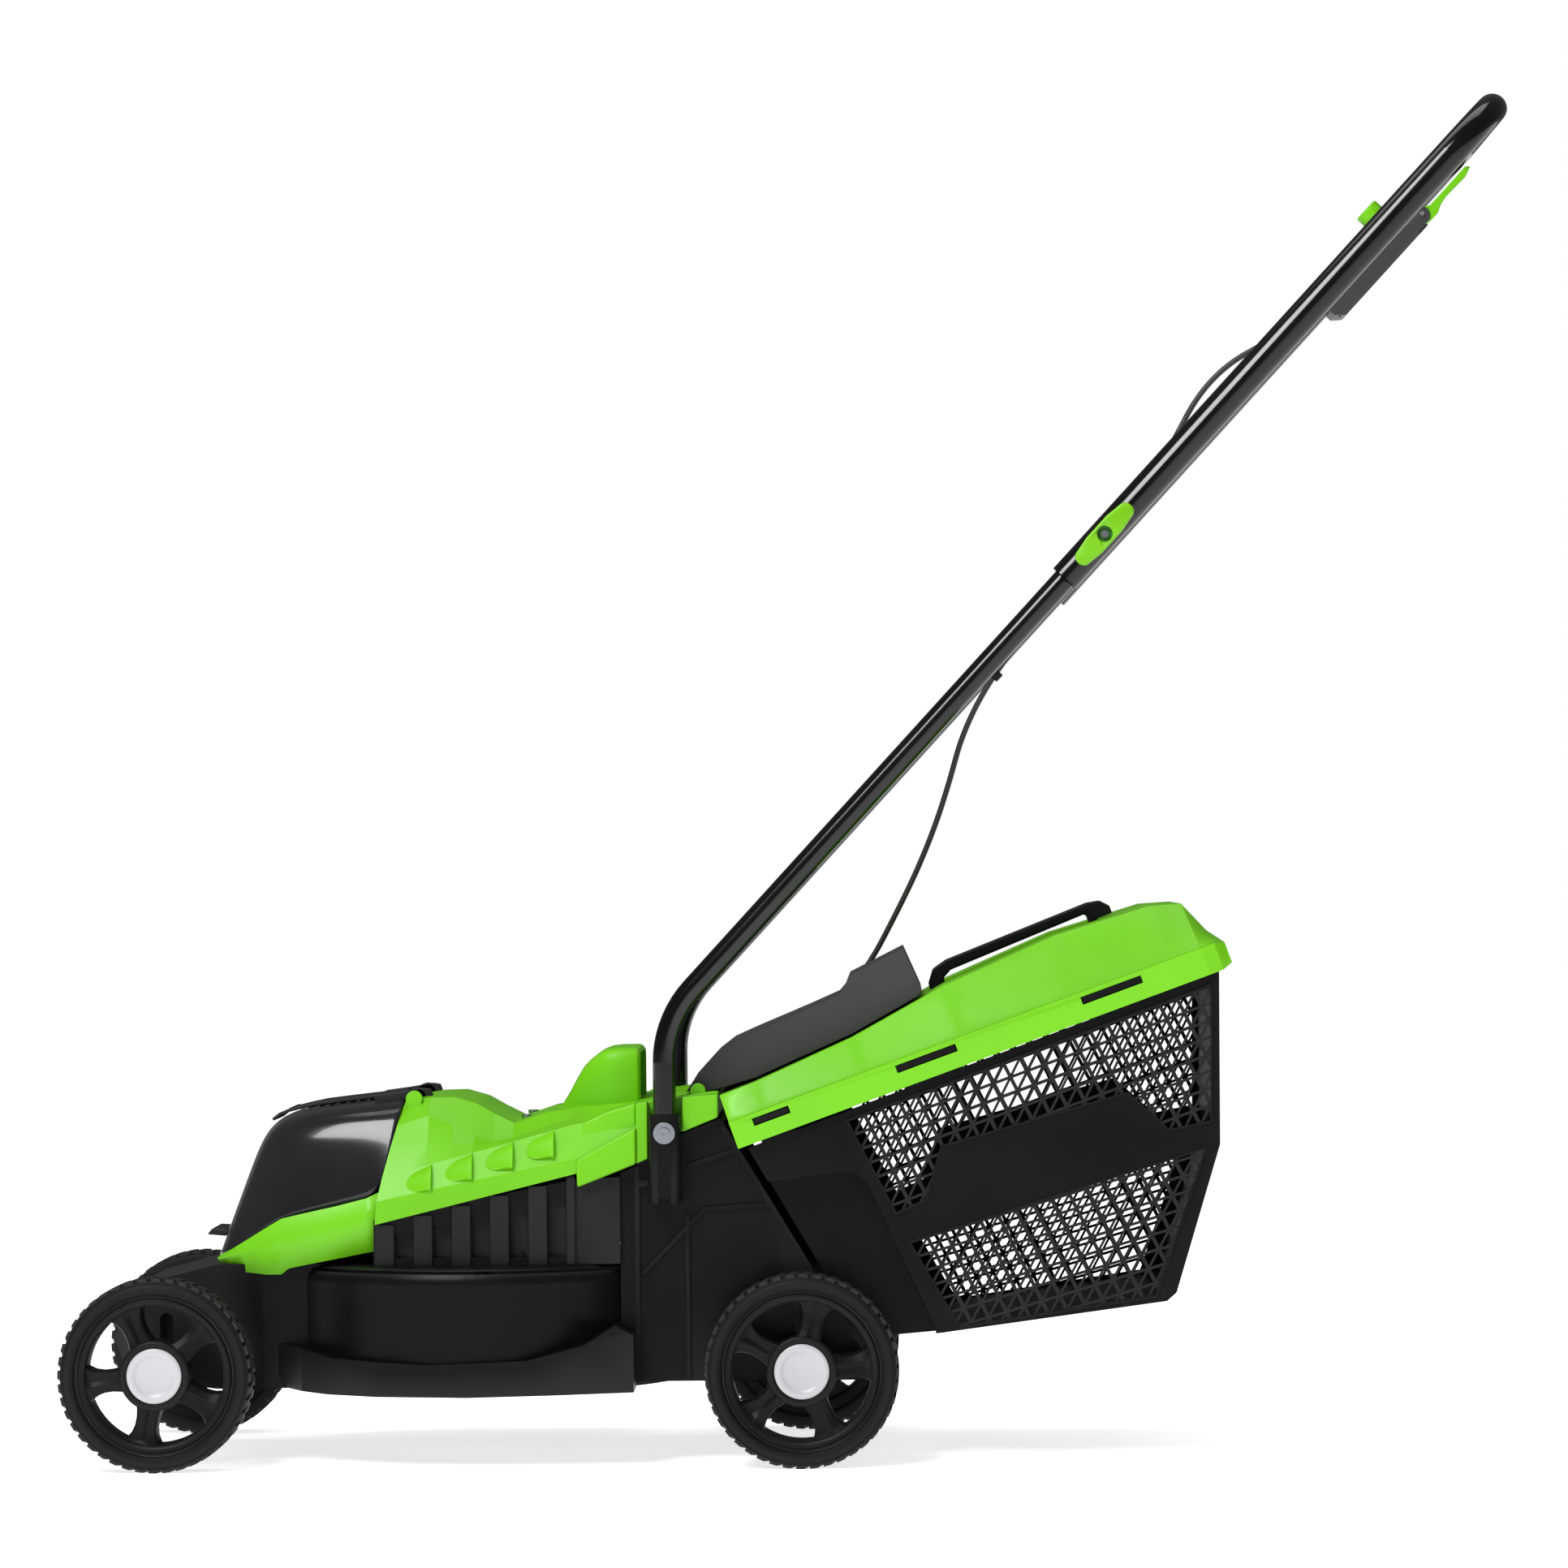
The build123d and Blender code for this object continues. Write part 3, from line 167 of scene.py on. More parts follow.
def moulded(name, color, roughness, grain=2200.0, bump=0.12, mottle=0.08, scuff=0.0, coat=0.0, metallic=0.0,
            specular=0.5):
    """Moulded plastic or paint: fine grain, slow drift in its colour and sheen, and worn, paler edges."""
    material = bpy.data.materials.new(name)
    material.use_nodes = True
    tree = material.node_tree
    shader = tree.nodes["Principled BSDF"]
    shader.inputs["Metallic"].default_value = metallic
    shader.inputs["Coat Weight"].default_value = coat
    shader.inputs["Coat Roughness"].default_value = 0.08
    shader.inputs["Specular IOR Level"].default_value = specular
    place = add(tree, "ShaderNodeTexCoord")
    drift = add(tree, "ShaderNodeTexNoise", Scale=9.0, Detail=5.0, Roughness=0.6)
    tree.links.new(place.outputs["Object"], drift.inputs["Vector"])
    ramp = tree.nodes.new("ShaderNodeValToRGB")
    ramp.color_ramp.elements[0].position = 0.3
    ramp.color_ramp.elements[1].position = 0.7
    dark = [c * (1 - mottle) for c in color]
    light = [min(1.0, c * (1 + mottle) + 0.002) for c in color]
    ramp.color_ramp.elements[0].color = (*dark, 1)
    ramp.color_ramp.elements[1].color = (*light, 1)
    tree.links.new(drift.outputs["Fac"], ramp.inputs["Fac"])
    paint = ramp.outputs["Color"]
    if scuff:
        geometry = tree.nodes.new("ShaderNodeNewGeometry")
        edge = tree.nodes.new("ShaderNodeValToRGB")
        edge.color_ramp.elements[0].position = 0.52
        edge.color_ramp.elements[1].position = 0.62
        edge.color_ramp.elements[1].color = (scuff, scuff, scuff, 1)
        tree.links.new(geometry.outputs["Pointiness"], edge.inputs["Fac"])
        mix = tree.nodes.new("ShaderNodeMix")
        mix.data_type = "RGBA"
        tree.links.new(edge.outputs["Color"], mix.inputs["Factor"])
        tree.links.new(paint, mix.inputs[6])
        mix.inputs[7].default_value = (*[min(1.0, c * 1.6 + 0.05) for c in color], 1)
        paint = mix.outputs[2]
    tree.links.new(paint, shader.inputs["Base Color"])
    patches = add(tree, "ShaderNodeTexNoise", Scale=34.0, Detail=4.0, Roughness=0.65)
    tree.links.new(place.outputs["Object"], patches.inputs["Vector"])
    span = tree.nodes.new("ShaderNodeMapRange")
    span.inputs["To Min"].default_value = max(0.02, roughness - 0.06)
    span.inputs["To Max"].default_value = min(1.0, roughness + 0.07)
    tree.links.new(patches.outputs["Fac"], span.inputs["Value"])
    tree.links.new(span.outputs["Result"], shader.inputs["Roughness"])
    grainy = add(tree, "ShaderNodeTexNoise", Scale=grain, Detail=2.0, Roughness=0.5)
    tree.links.new(place.outputs["Object"], grainy.inputs["Vector"])
    relief = add(tree, "ShaderNodeBump", Strength=bump, Distance=0.0004)
    tree.links.new(grainy.outputs["Fac"], relief.inputs["Height"])
    tree.links.new(relief.outputs["Normal"], shader.inputs["Normal"])
    return material


def brushed(name, color, roughness, stretch=(1, 60, 60)):
    """Drawn or turned metal, its fine lines running one way."""
    material = moulded(name, color, roughness, grain=900, bump=0.05, mottle=0.06, metallic=1.0)
    tree = material.node_tree
    shader = tree.nodes["Principled BSDF"]
    place = add(tree, "ShaderNodeTexCoord")
    mapping = tree.nodes.new("ShaderNodeMapping")
    mapping.inputs["Scale"].default_value = stretch
    tree.links.new(place.outputs["Object"], mapping.inputs["Vector"])
    lines = add(tree, "ShaderNodeTexNoise", Scale=60.0, Detail=3.0)
    tree.links.new(mapping.outputs["Vector"], lines.inputs["Vector"])
    span = tree.nodes.new("ShaderNodeMapRange")
    span.inputs["To Min"].default_value = roughness - 0.08
    span.inputs["To Max"].default_value = roughness + 0.12
    tree.links.new(lines.outputs["Fac"], span.inputs["Value"])
    tree.links.new(span.outputs["Result"], shader.inputs["Roughness"])
    return material


def tinted(name):
    """Dark smoke-tinted plastic that lets a little of the battery show through."""
    material = bpy.data.materials.new(name)
    material.use_nodes = True
    tree = material.node_tree
    shader = tree.nodes["Principled BSDF"]
    shader.inputs["Alpha"].default_value = 0.84
    shader.inputs["IOR"].default_value = 1.55
    shader.inputs["Coat Weight"].default_value = 0.15
    shader.inputs["Specular IOR Level"].default_value = 0.3
    shader.inputs["Coat Roughness"].default_value = 0.03
    place = add(tree, "ShaderNodeTexCoord")
    cloud = add(tree, "ShaderNodeTexNoise", Scale=14.0, Detail=4.0)
    tree.links.new(place.outputs["Object"], cloud.inputs["Vector"])
    ramp = tree.nodes.new("ShaderNodeValToRGB")
    ramp.color_ramp.elements[0].color = (0.008, 0.008, 0.0095, 1)
    ramp.color_ramp.elements[1].color = (0.022, 0.022, 0.025, 1)
    tree.links.new(cloud.outputs["Fac"], ramp.inputs["Fac"])
    tree.links.new(ramp.outputs["Color"], shader.inputs["Base Color"])
    span = tree.nodes.new("ShaderNodeMapRange")
    span.inputs["To Min"].default_value = 0.10
    span.inputs["To Max"].default_value = 0.18
    tree.links.new(cloud.outputs["Fac"], span.inputs["Value"])
    tree.links.new(span.outputs["Result"], shader.inputs["Roughness"])
    return material


GREEN = moulded("green_abs", (0.135, 0.47, 0.002), 0.36, grain=1700, bump=0.10, mottle=0.05, scuff=0.2,
                specular=0.25)
# A darker green that paints the shade inside the hump and the knobs' recesses, not a colour of the plastic
# itself
GREEN_PAINTED_SHADE = moulded("green_painted_shade", (0.03, 0.19, 0.012), 0.5, mottle=0.08)
BLACK = moulded("black_pp", (0.0035, 0.0035, 0.004), 0.34, grain=1500, bump=0.14, mottle=0.12, scuff=0.25,
                specular=0.10)
GREY = moulded("grey_abs", (0.038, 0.037, 0.038), 0.42, grain=1500, bump=0.16, mottle=0.08, scuff=0.3,
               specular=0.2)
CASE = moulded("battery_case_abs", (0.004, 0.004, 0.005), 0.55, mottle=0.15, bump=0.1)
PAINT = moulded("tube_powder_coat", (0.002, 0.002, 0.0024), 0.16, grain=420, bump=0.04, mottle=0.1,
                coat=0.25, specular=0.3)
RUBBER = moulded("tyre_rubber", (0.005, 0.005, 0.0055), 0.55, grain=900, bump=0.3, mottle=0.2, scuff=0.7,
                 specular=0.12)
RIM = moulded("rim_pp", (0.005, 0.005, 0.0055), 0.42, grain=700, bump=0.22, mottle=0.2, scuff=0.5,
              specular=0.12)
CAP = moulded("cap_abs", (0.46, 0.45, 0.47), 0.36, grain=1500, bump=0.05, mottle=0.04)
KNOB = moulded("knob_abs", (0.15, 0.45, 0.003), 0.36, mottle=0.05, scuff=0.2, specular=0.3)
CABLE = moulded("cable_jacket", (0.006, 0.006, 0.006), 0.42, grain=800, bump=0.2)
BOARD = moulded("board_green", (0.02, 0.11, 0.05), 0.4)
ZINC = brushed("zinc_plate", (0.30, 0.32, 0.36), 0.30)
STEEL = brushed("drawn_steel", (0.42, 0.43, 0.45), 0.34, (60, 1, 60))
ALU = brushed("cast_alloy", (0.5, 0.51, 0.53), 0.42)
BRASS = brushed("contact_brass", (0.75, 0.55, 0.25), 0.3)
BLADE = moulded("blade_paint", (0.02, 0.02, 0.022), 0.35, grain=500, bump=0.2, scuff=0.6, metallic=0.3)
GLASS = tinted("tinted_pc")


# ---------------------------------------------------------------- mesh helpers

def finish_mesh(obj, bevel=0.0, angle=30.0, segments=3):
    """Rounds a piece's edges and shades it smooth between its sharp ones."""
    if bevel:
        rounding = obj.modifiers.new("rounding", "BEVEL")
        rounding.width = bevel * MM
        rounding.segments = segments
        rounding.limit_method = "ANGLE"
        rounding.angle_limit = radians(angle)
        rounding.harden_normals = True
    obj.data.polygons.foreach_set("use_smooth", [True] * len(obj.data.polygons))
    obj.data.set_sharp_from_angle(angle=radians(angle))


def piece(name, verts, faces, material, body="root", bevel=0.0, angle=30.0, replaces=(), matrix=None,
          segments=3):
    """A named mesh from points in millimetres, riding on a body."""
    mesh = bpy.data.meshes.new(name)
    move = matrix or Matrix.Identity(4)
    mesh.from_pydata([(move @ Vector(v)) * MM for v in verts], [], faces)
    mesh.validate()
    bm = bmesh.new()
    bm.from_mesh(mesh)
    bmesh.ops.remove_doubles(bm, verts=bm.verts, dist=1e-6)
    bmesh.ops.recalc_face_normals(bm, faces=bm.faces)
    bm.to_mesh(mesh)
    bm.free()
    mesh.materials.append(material)
    obj = bpy.data.objects.new(name, mesh)
    bpy.context.collection.objects.link(obj)
    finish_mesh(obj, bevel, angle, segments)
    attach(obj, body)
    if replaces:
        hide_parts(*replaces)
    return obj


def prism(outline, y0, y1):
    """Points and faces of a side-view outline of (x, z) points between two planes of y."""
    n = len(outline)
    verts = [(x, y0, z) for x, z in outline] + [(x, y1, z) for x, z in outline]
    faces = [tuple(range(n)), tuple(range(2 * n - 1, n - 1, -1))]
    faces += [(i, i + n, (i + 1) % n + n, (i + 1) % n) for i in range(n)]
    return verts, faces


def merged(*solids):
    """Several (points, faces) pairs as one."""
    verts, faces = [], []
    for v, f in solids:
        start = len(verts)
        verts += v
        faces += [tuple(i + start for i in face) for face in f]
    return verts, faces


def ribbon(points, width):
    """A strip of constant width along a run of (x, z) points, as its outline."""
    left, right = [], []
    for i, (x, z) in enumerate(points):
        ax, az = points[max(i - 1, 0)]
        bx, bz = points[min(i + 1, len(points) - 1)]
        length = hypot(bx - ax, bz - az)
        nx, nz = -(bz - az) / length * width / 2, (bx - ax) / length * width / 2
        left.append((x + nx, z + nz))
        right.append((x - nx, z - nz))
    return left + right[::-1]


def skin(rows, closed_rows=False, cap=False):
    """Faces over a grid of points: rows of equal length."""
    verts = [p for row in rows for p in row]
    n = len(rows[0])
    faces = []
    for i in range(len(rows) - 1):
        for j in range(n if closed_rows else n - 1):
            k = (j + 1) % n
            faces.append((i * n + j, i * n + k, (i + 1) * n + k, (i + 1) * n + j))
    if cap:
        faces.append(tuple(range(n)))
        faces.append(tuple(range(len(verts) - 1, len(verts) - n - 1, -1)))
    return verts, faces


def mirrored(row):
    """A half row from the side to the middle, made whole."""
    return row + [(x, -y, z) for x, y, z in reversed(row[:-1])]


def thicken(obj, thickness, offset=-1.0):
    wall = obj.modifiers.new("wall", "SOLIDIFY")
    wall.thickness = thickness * MM
    wall.offset = offset


def soften(obj, levels=2):
    smooth = obj.modifiers.new("smooth", "SUBSURF")
    smooth.levels = levels
    smooth.render_levels = levels


def side_y(side, a, b):
    return sorted((side * a, side * b))


HANDLE = Matrix.Translation((BOLT_X, 0, BOLT_Z)) @ Matrix.Rotation(radians(-HANDLE_ANGLE), 4, "Y")


# ---------------------------------------------------------------- cable

CABLE_POINTS_ALONG = [
    (276.4, 2.1, 141), (243, 10, 141), (205, 23.5, 141), (165, 24.5, 141), (122, 13, 140), (80, 5, 135),
    (38, 0, 128), (-8, -3, 125.4), (-60, -4.6, 124.4), (-112, -5.4, 124.6), (-158, -12, 125),
]
CABLE_POINTS_HANGING = [
    (149, 125, 603), (140, 125, 570), (127, 125, 530), (110, 125, 489), (90, 125, 449), (68, 125, 408),
    (36, 125, 368), (-8, 126, 346), (-46, 128, 338), (-68, 130, 328), (-69, 130, 307.2),
]


def cable():
    """The cable from the switch box, down the handle and across to the hood."""
    points = [HANDLE @ Vector((t, y, up)) for t, up, y in CABLE_POINTS_ALONG]
    points += [Vector(p) for p in CABLE_POINTS_HANGING]
    curve = bpy.data.curves.new("mower_cable", "CURVE")
    curve.dimensions = "3D"
    spline = curve.splines.new("NURBS")
    spline.points.add(len(points) - 1)
    for control, p in zip(spline.points, points):
        control.co = (*(p * MM), 1)
    spline.order_u = 3
    spline.use_endpoint_u = True
    spline.resolution_u = 10
    route = bpy.data.objects.new("mower_cable_route", curve)
    line = bpy.data.meshes.new_from_object(route)
    curve.bevel_depth = 2.5 * MM
    curve.bevel_resolution = 5
    curve.use_fill_caps = True
    mesh = bpy.data.meshes.new_from_object(route)
    bpy.data.objects.remove(route)
    bpy.data.meshes.remove(line)
    mesh.materials.clear()
    mesh.materials.append(CABLE)
    mesh.polygons.foreach_set("use_smooth", [True] * len(mesh.polygons))
    obj = bpy.data.objects.new("mower_cable", mesh)
    bpy.context.collection.objects.link(obj)
    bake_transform(obj, "root", "upper_handle", start=(HANDLE @ Vector((-50, 0, 0))) * MM,
             end=(HANDLE @ Vector((50, 0, 0))) * MM)
    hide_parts("power_cable")


# ---------------------------------------------------------------- wheels

def turned(profile, n=96):
    """A closed (radius, depth) profile turned about the wheel's axis, its depth running into the mower."""
    rows = []
    for r, d in profile + profile[:1]:
        rows.append([(r * cos(2 * pi * k / n), d, r * sin(2 * pi * k / n)) for k in range(n)])
    return skin(rows, closed_rows=True)


def arc(cx, cz, r, a0, a1, steps):
    return [(cx + r * cos(radians(a0 + (a1 - a0) * i / steps)),
             cz + r * sin(radians(a0 + (a1 - a0) * i / steps)))
            for i in range(steps + 1)]


def lug(angle, skew, d0, d1, half):
    """One tread block between two depths, its ends turned by a skew."""
    verts = []
    for r in (76.5, WHEEL_R):
        spread = half if r > 78 else half + 0.7
        for d, shift in ((d0, -skew), (d1, skew)):
            for e in (-spread, spread):
                turn = angle + (shift + e) / WHEEL_R
                verts.append((r * cos(turn), d, r * sin(turn)))
    faces = [(0, 1, 3, 2), (4, 6, 7, 5), (0, 4, 5, 1), (2, 3, 7, 6), (0, 2, 6, 4), (1, 5, 7, 3)]
    return verts, faces


def spoke_shell(angle):
    """One spoke: waisted near its middle, flared into the rim, its face folded about an off-centre ridge."""
    stations = [(26, 10.5, 3.0), (30, 9.6, 4.2), (36, 8.8, 5.6), (43, 9.0, 6.6), (49, 10.6, 7.0),
                (54, 13.6, 6.4), (57.5, 18.0, 5.0), (60, 22.5, 3.6)]
    rows = []
    for r, w, d in stations:
        section = [(-w, 30), (-w, d + 3.4), (-w + 1.6, d + 1.4), (-w * 0.15, d + 2.2), (w * 0.25, d - 0.6),
                   (w - 1.2, d + 2.0), (w, d + 4.4), (w, 30)]
        row = []
        for across, depth in section:
            x = r * cos(angle) - across * sin(angle)
            z = r * sin(angle) + across * cos(angle)
            row.append((x, depth, z))
        rows.append(row)
    return skin(rows, closed_rows=True, cap=True)


def wheel(name, x, side, spoke_angle):
    body = f"{name}_wheel"
    flip = Matrix.Diagonal((1, -side, 1, 1))
    place = Matrix.Translation((x, side * WHEEL_FACE_Y, AXLE_Z)) @ flip
    tyre = [(66.6, 2.2), (67.6, 0.9), (69.0, 0.4), (73.2, 0.2), (74.6, 0.8), (75.0, 1.3), (76.6, 1.5),
            (77.6, 2.6), (78.0, 4.4), (78.1, 12), (77.6, 20), (78.1, 28), (78.0, 35.6), (77.0, 38.4),
            (75.0, 39.4), (69.0, 39.6), (66.6, 38)]
    solids = [turned(tyre)]
    count = 44
    for k in range(count):
        turn = 2 * pi * k / count
        solids.append(lug(turn, 1.9, 2.4, 17.6, 3.4))
        solids.append(lug(turn + pi / count, -1.9, 22.4, 37.6, 3.4))
    verts, faces = merged(*solids)
    piece(f"{name}_tyre_look", verts, faces, RUBBER, body, 0.5, 32, [f"{name}_tyre"], place, 2)
    ring = [(66.8, 3.4), (65.2, 4.4), (64.0, 4.2), (63.2, 2.6), (62.4, 2.0), (60.4, 2.2), (58.2, 3.6),
            (57.0, 6.0), (57.0, 34.0), (58.0, 36.0), (66.8, 37.0)]
    hub = [(28.2, 1.5), (28.9, 2.2), (29.0, 4.0), (28.6, 36.0), (5.1, 36.5), (5.1, 14.0), (22.6, 14.0),
           (23.2, 1.2), (24.4, 0.7), (27.0, 0.8)]
    solids = [turned(ring), turned(hub, 64)]
    for k in range(5):
        solids.append(spoke_shell(radians(spoke_angle + 72 * k)))
    verts, faces = merged(*solids)
    piece(f"{name}_rim_look", verts, faces, RIM, body, 0.7, 32, [f"{name}_rim"], place)
    cap = [(0.001, 2.0), (14.6, 2.0), (15.4, 1.8), (16.6, 0.9), (17.6, 0.3), (19.0, 0.05), (21.0, 0.15),
           (22.2, 0.7), (22.7, 1.5), (22.7, 3.0), (22.4, 6.0), (0.001, 6.0)]
    verts, faces = turned(cap, 72)
    piece(f"{name}_cap_look", verts, faces, CAP, body, 0.0, 50, [f"{name}_cap"], place)


# ---------------------------------------------------------------- hood

HOOD = [
    (-343.5, 200.0, 218.5, 237.5, 262, 281, 299, 303), (-318, 206.2, 224, 244, 264, 284, 300, 303.6),
    (-301, 210.4, 227.4, 248.5, 267, 289, 303, 305), (-281, 215.3, 231.5, 254, 265, 280, 303.5, 306),
    (-262, 220.0, 235.4, 259, 264.5, 271, 298, 301), (-247, 223.7, 238.4, 263, 265, 266.5, 289.5, 292.5),
    (-230, 227.9, 241.9, 267.5, 269, 270, 281, 283), (-203, 234.6, 247.4, 275, 277, 279, 290, 291),
    (-190, 237.8, 250.0, 278.4, 281, 283, 292, 293), (-176, 241.2, 252.9, 282, 284, 286, 294, 295),
    (-160, 246.0, 256.0, 284, 286, 288, 295, 296), (-126, 256.0, 264, 286, 290, 292, 298, 299),
]
FLANK_Y = (139.0, 140.0, 131.0, 118.0, 105.0, 82.0, 0.0)
SEAM_X = (-343.5, -342.0, -338.0, -332.0, -327.0, -322.0, -320.5)


def hood_shell():
    """The hood's main shell from its drawn lower strip over the louvre band and ledge to its crown."""
    rows = [mirrored(list(zip(SEAM_X, FLANK_Y, HOOD[0][1:])))]
    for x, *heights in HOOD[1:]:
        rows.append(mirrored([(x, y, z) for y, z in zip(FLANK_Y, heights)]))
    piece("hood_shell", *skin(rows), GREEN, "root", 0.9, 14, ["hood"])


def louvre(x, side):
    """A gill on the louvre band: flush at its front and open behind."""
    rows = []
    for i in range(7):
        u = i / 6
        row = []
        for j in range(9):
            v = j / 8 * 2 - 1
            reach = sqrt(max(0.0, 1 - v * v))
            px = x - 23 * (1 - u) * reach - 0.5
            rise = 6.4 * u ** 0.9 * (0.4 + 0.6 * reach)
            slope = 0.268 * (px + 318)
            z = 232.6 + slope + 10.8 * v
            y = 135.4 - 4.4 * v + rise
            row.append((px, side * y, z))
        rows.append(row)
    end = [(x + 0.6, side * (133.0 - 4.4 * (j / 8 * 2 - 1)),
            232.6 + 0.268 * (x + 318) + 10.8 * (j / 8 * 2 - 1)) for j in range(9)]
    rows.append(end)
    return skin(rows)


def hood_details():
    verts, faces = merged(*[louvre(x, side) for _, side in SIDES for x in (-296.0, -262.0, -228.0, -194.0)])
    piece("hood_louvres", verts, faces, GREEN, "root", 0.0, 40)
    solids = []
    for _, side in SIDES:
        y0, y1 = side_y(side, 108, 142.5)
        solids.append(prism([(-175, 229.8), (-126, 249), (-126, 279), (-154, 264.5), (-176, 252)], y0, y1))
        y0, y1 = side_y(side, 60, 134)
        solids.append(prism([(-176, 252), (-154, 264.5), (-126, 279), (-126, 299), (-151, 292),
                             (-170, 283)], y0, y1))
    verts, faces = merged(*solids)
    piece("hood_step", verts, faces, GREEN, "root", 2.2, 20)


def vent_shade():
    """Dark inner walls behind the air slots, painted shade standing in for the hood's dim inside, so that no
    daylight shows through them.
    """
    outline = [(-338, 167), (-145, 167), (-145, 238), (-178, 234), (-338, 202)]
    verts, faces = merged(*[prism(outline, *side_y(side, 121, 123)) for _, side in SIDES])
    piece("vent_shade", verts, faces, BLACK, "root")


def hump_section(x, w, z):
    """A cross-section of the hump: upright sides, a rounded shoulder and a flat top."""
    return mirrored([(x, w, 272), (x, w, z - 22), (x, w - 0.3, z - 10), (x, w - 2.4, z - 4.2),
                     (x, w - 6.5, z - 1.2), (x, w - 13, z), (x, 0, z)])


def hump():
    """The rounded rear hump, hollow and open behind."""
    sections = [(-205, 34, 289), (-193, 42, 294), (-186, 46, 305), (-180, 49.5, 316), (-174, 52.5, 326),
                (-168, 55, 332.4), (-160, 58.5, 338.6), (-153, 61.5, 341.4), (-145, 62, 342.3),
                (-130, 62, 342.4), (-127.5, 61.4, 341.4)]
    rows = [hump_section(*section) for section in sections]
    for x, shrink in ((-125.0, 3.0), (-150.0, 4.0)):
        rows.append(hump_section(x, 61.4 - shrink, 341.4 - shrink))
    piece("hood_hump", *skin(rows), GREEN, "root", 0.6, 28)
    x = -149.5
    w, z = 58, 338
    sheet = [(x, w, 272), (x, w, z - 8), (x, w - 8, z), (x, -w + 8, z), (x, -w, z - 8), (x, -w, 272)]
    # The sheet that closes the hollow is painted darker green as shade inside the hump
    piece("hump_inside", sheet, [tuple(range(6))], GREEN_PAINTED_SHADE, "root")


REAR_LOW = [(-126, 262), (-117, 264), (-88, 275), (-58, 287)]


def hood_rear():
    """The hood's flat rear flange, notched round the handle sleeves, with the flap's hinge ears."""
    solids = []
    middle = REAR_LOW + [(-58, 308), (-66, 307.5), (-90, 304), (-126, 299)]
    solids.append(prism(middle, -126, 126))
    for _, side in SIDES:
        y0, y1 = side_y(side, 125, 139)
        solids.append(prism([(-126, 249), (-116.4, 253), (-116.4, 300.6), (-126, 299)], y0, y1))
        solids.append(prism([(-87.6, 275), (-58, 287), (-58, 306), (-87.6, 304)], y0, y1))
        y0, y1 = side_y(side, 111, 121)
        solids.append(prism(arc(-75, 308, 6.5, -20, 200, 12) + [(-81.5, 300), (-68.5, 300)], y0, y1))
    verts, faces = merged(*solids)
    piece("hood_rear", verts, faces, GREEN, "root", 1.2, 25)


COLLAR = [
    (-485.0, 0.0, 167.5, 167, 166.2),
    (-484.5, 34.0, 168, 167, 166.2),
    (-483.0, 62.0, 170, 168, 166.2),
    (-478.5, 83.0, 172.5, 169, 165.8),
    (-468.0, 97.5, 177.6, 172, 164.0),
    (-454.0, 107.0, 186, 176, 159.5),
    (-436.0, 113.0, 197, 183, 157.6),
    (-424.0, 116.0, 204.0, 190, 158.0),
    (-417.5, 117.0, 205.6, 192, 163.0),
    (-400.0, 120.0, 209.6, 196.4, 166.6),
    (-377.0, 122.5, 214.6, 202.0, 171.0),
    (-352.0, 125.0, 221.0, 208.4, 176.0),
    (-341.5, 126.0, 226.0, 211.2, 177.6),
]


def collar():
    """The green lip that the cover closes on, wrapped round the front of the battery bay."""
    top, crease, low = [], [], []
    for x, y, seam, fold, bottom in COLLAR:
        pull = 0.0 if y < 70 else 5.0
        top.append((x + (2.5 if y < 70 else 0), y - pull, seam))
        crease.append((x - 0.6, y + 0.6, fold))
        low.append((x, y, bottom))
    inner = [(x + 4, max(0.0, y - 7), z - 0.4) for x, y, z in top]
    rows = []
    for k in range(len(top)):
        rows.append([inner[k], top[k], crease[k], low[k]])
    left = [[(x, -y, z) for x, y, z in row] for row in reversed(rows[1:])]
    obj = piece("hood_collar", *skin(left + rows), GREEN, "root", 0.0, 26)
    thicken(obj, 2.4)
    walls = []
    for _, side in SIDES:
        y0, y1 = side_y(side, 60, 84)
        walls.append(prism([(-341, 206), (-337.5, 206), (-333, 234), (-324, 296), (-327.5, 297),
                            (-337, 236)], y0, y1))
        y0, y1 = side_y(side, 82, 90)
        walls.append(prism(arc(-314, 302, 7.0, -25, 205, 14) + [(-320, 292), (-307, 292)], y0, y1))
    middle = prism([(-340, 206), (-337.5, 206), (-333, 234), (-325, 284), (-327.5, 284), (-336, 236)], -61,
                   61)
    verts, faces = merged(middle, *walls)
    piece("hood_bulkhead", verts, faces, GREEN, "root", 1.0, 25)


# ---------------------------------------------------------------- battery cover

COVER = [
    [(-483.5, 0, 168.5), (-483.3, 40, 168.8), (-482, 62, 170.0), (-479, 73, 171.5), (-475, 80, 173),
     (-467, 88, 177.8)],
    [(-473, 0, 201), (-472.5, 42, 201), (-470, 66, 201), (-466, 77, 200.5), (-459, 88, 198),
     (-450, 98, 189.2)],
    [(-458, 0, 241), (-457.5, 44, 241), (-454, 70, 240), (-449, 81, 238), (-440, 93, 228),
     (-427, 105, 203.2)],
    [(-448, 0, 267), (-447.5, 46, 267), (-443, 74, 265), (-437, 86, 260), (-425, 98, 244),
     (-403, 110, 208.8)],
    [(-438, 0, 281), (-437, 48, 281), (-432, 78, 278), (-425, 90, 271), (-410, 101, 250),
     (-385, 112.5, 212.8)],
    [(-424, 0, 289.5), (-423, 50, 289), (-417, 81, 286), (-410, 93, 278), (-395, 104, 254),
     (-370, 115, 216.6)],
    [(-398, 0, 295.5), (-397, 52, 295), (-392, 84, 291.5), (-386, 96, 283), (-375, 107, 258),
     (-358, 117.5, 219.6)],
    [(-362, 0, 299.6), (-361, 54, 299), (-359, 87, 295.5), (-356, 99, 287), (-352, 109.5, 262),
     (-348, 119.5, 224.0)],
    [(-322.5, 0, 303.2), (-322.5, 56, 302.8), (-323.5, 89, 299), (-326, 101, 290), (-331, 111, 264),
     (-340.5, 121, 232)],
]


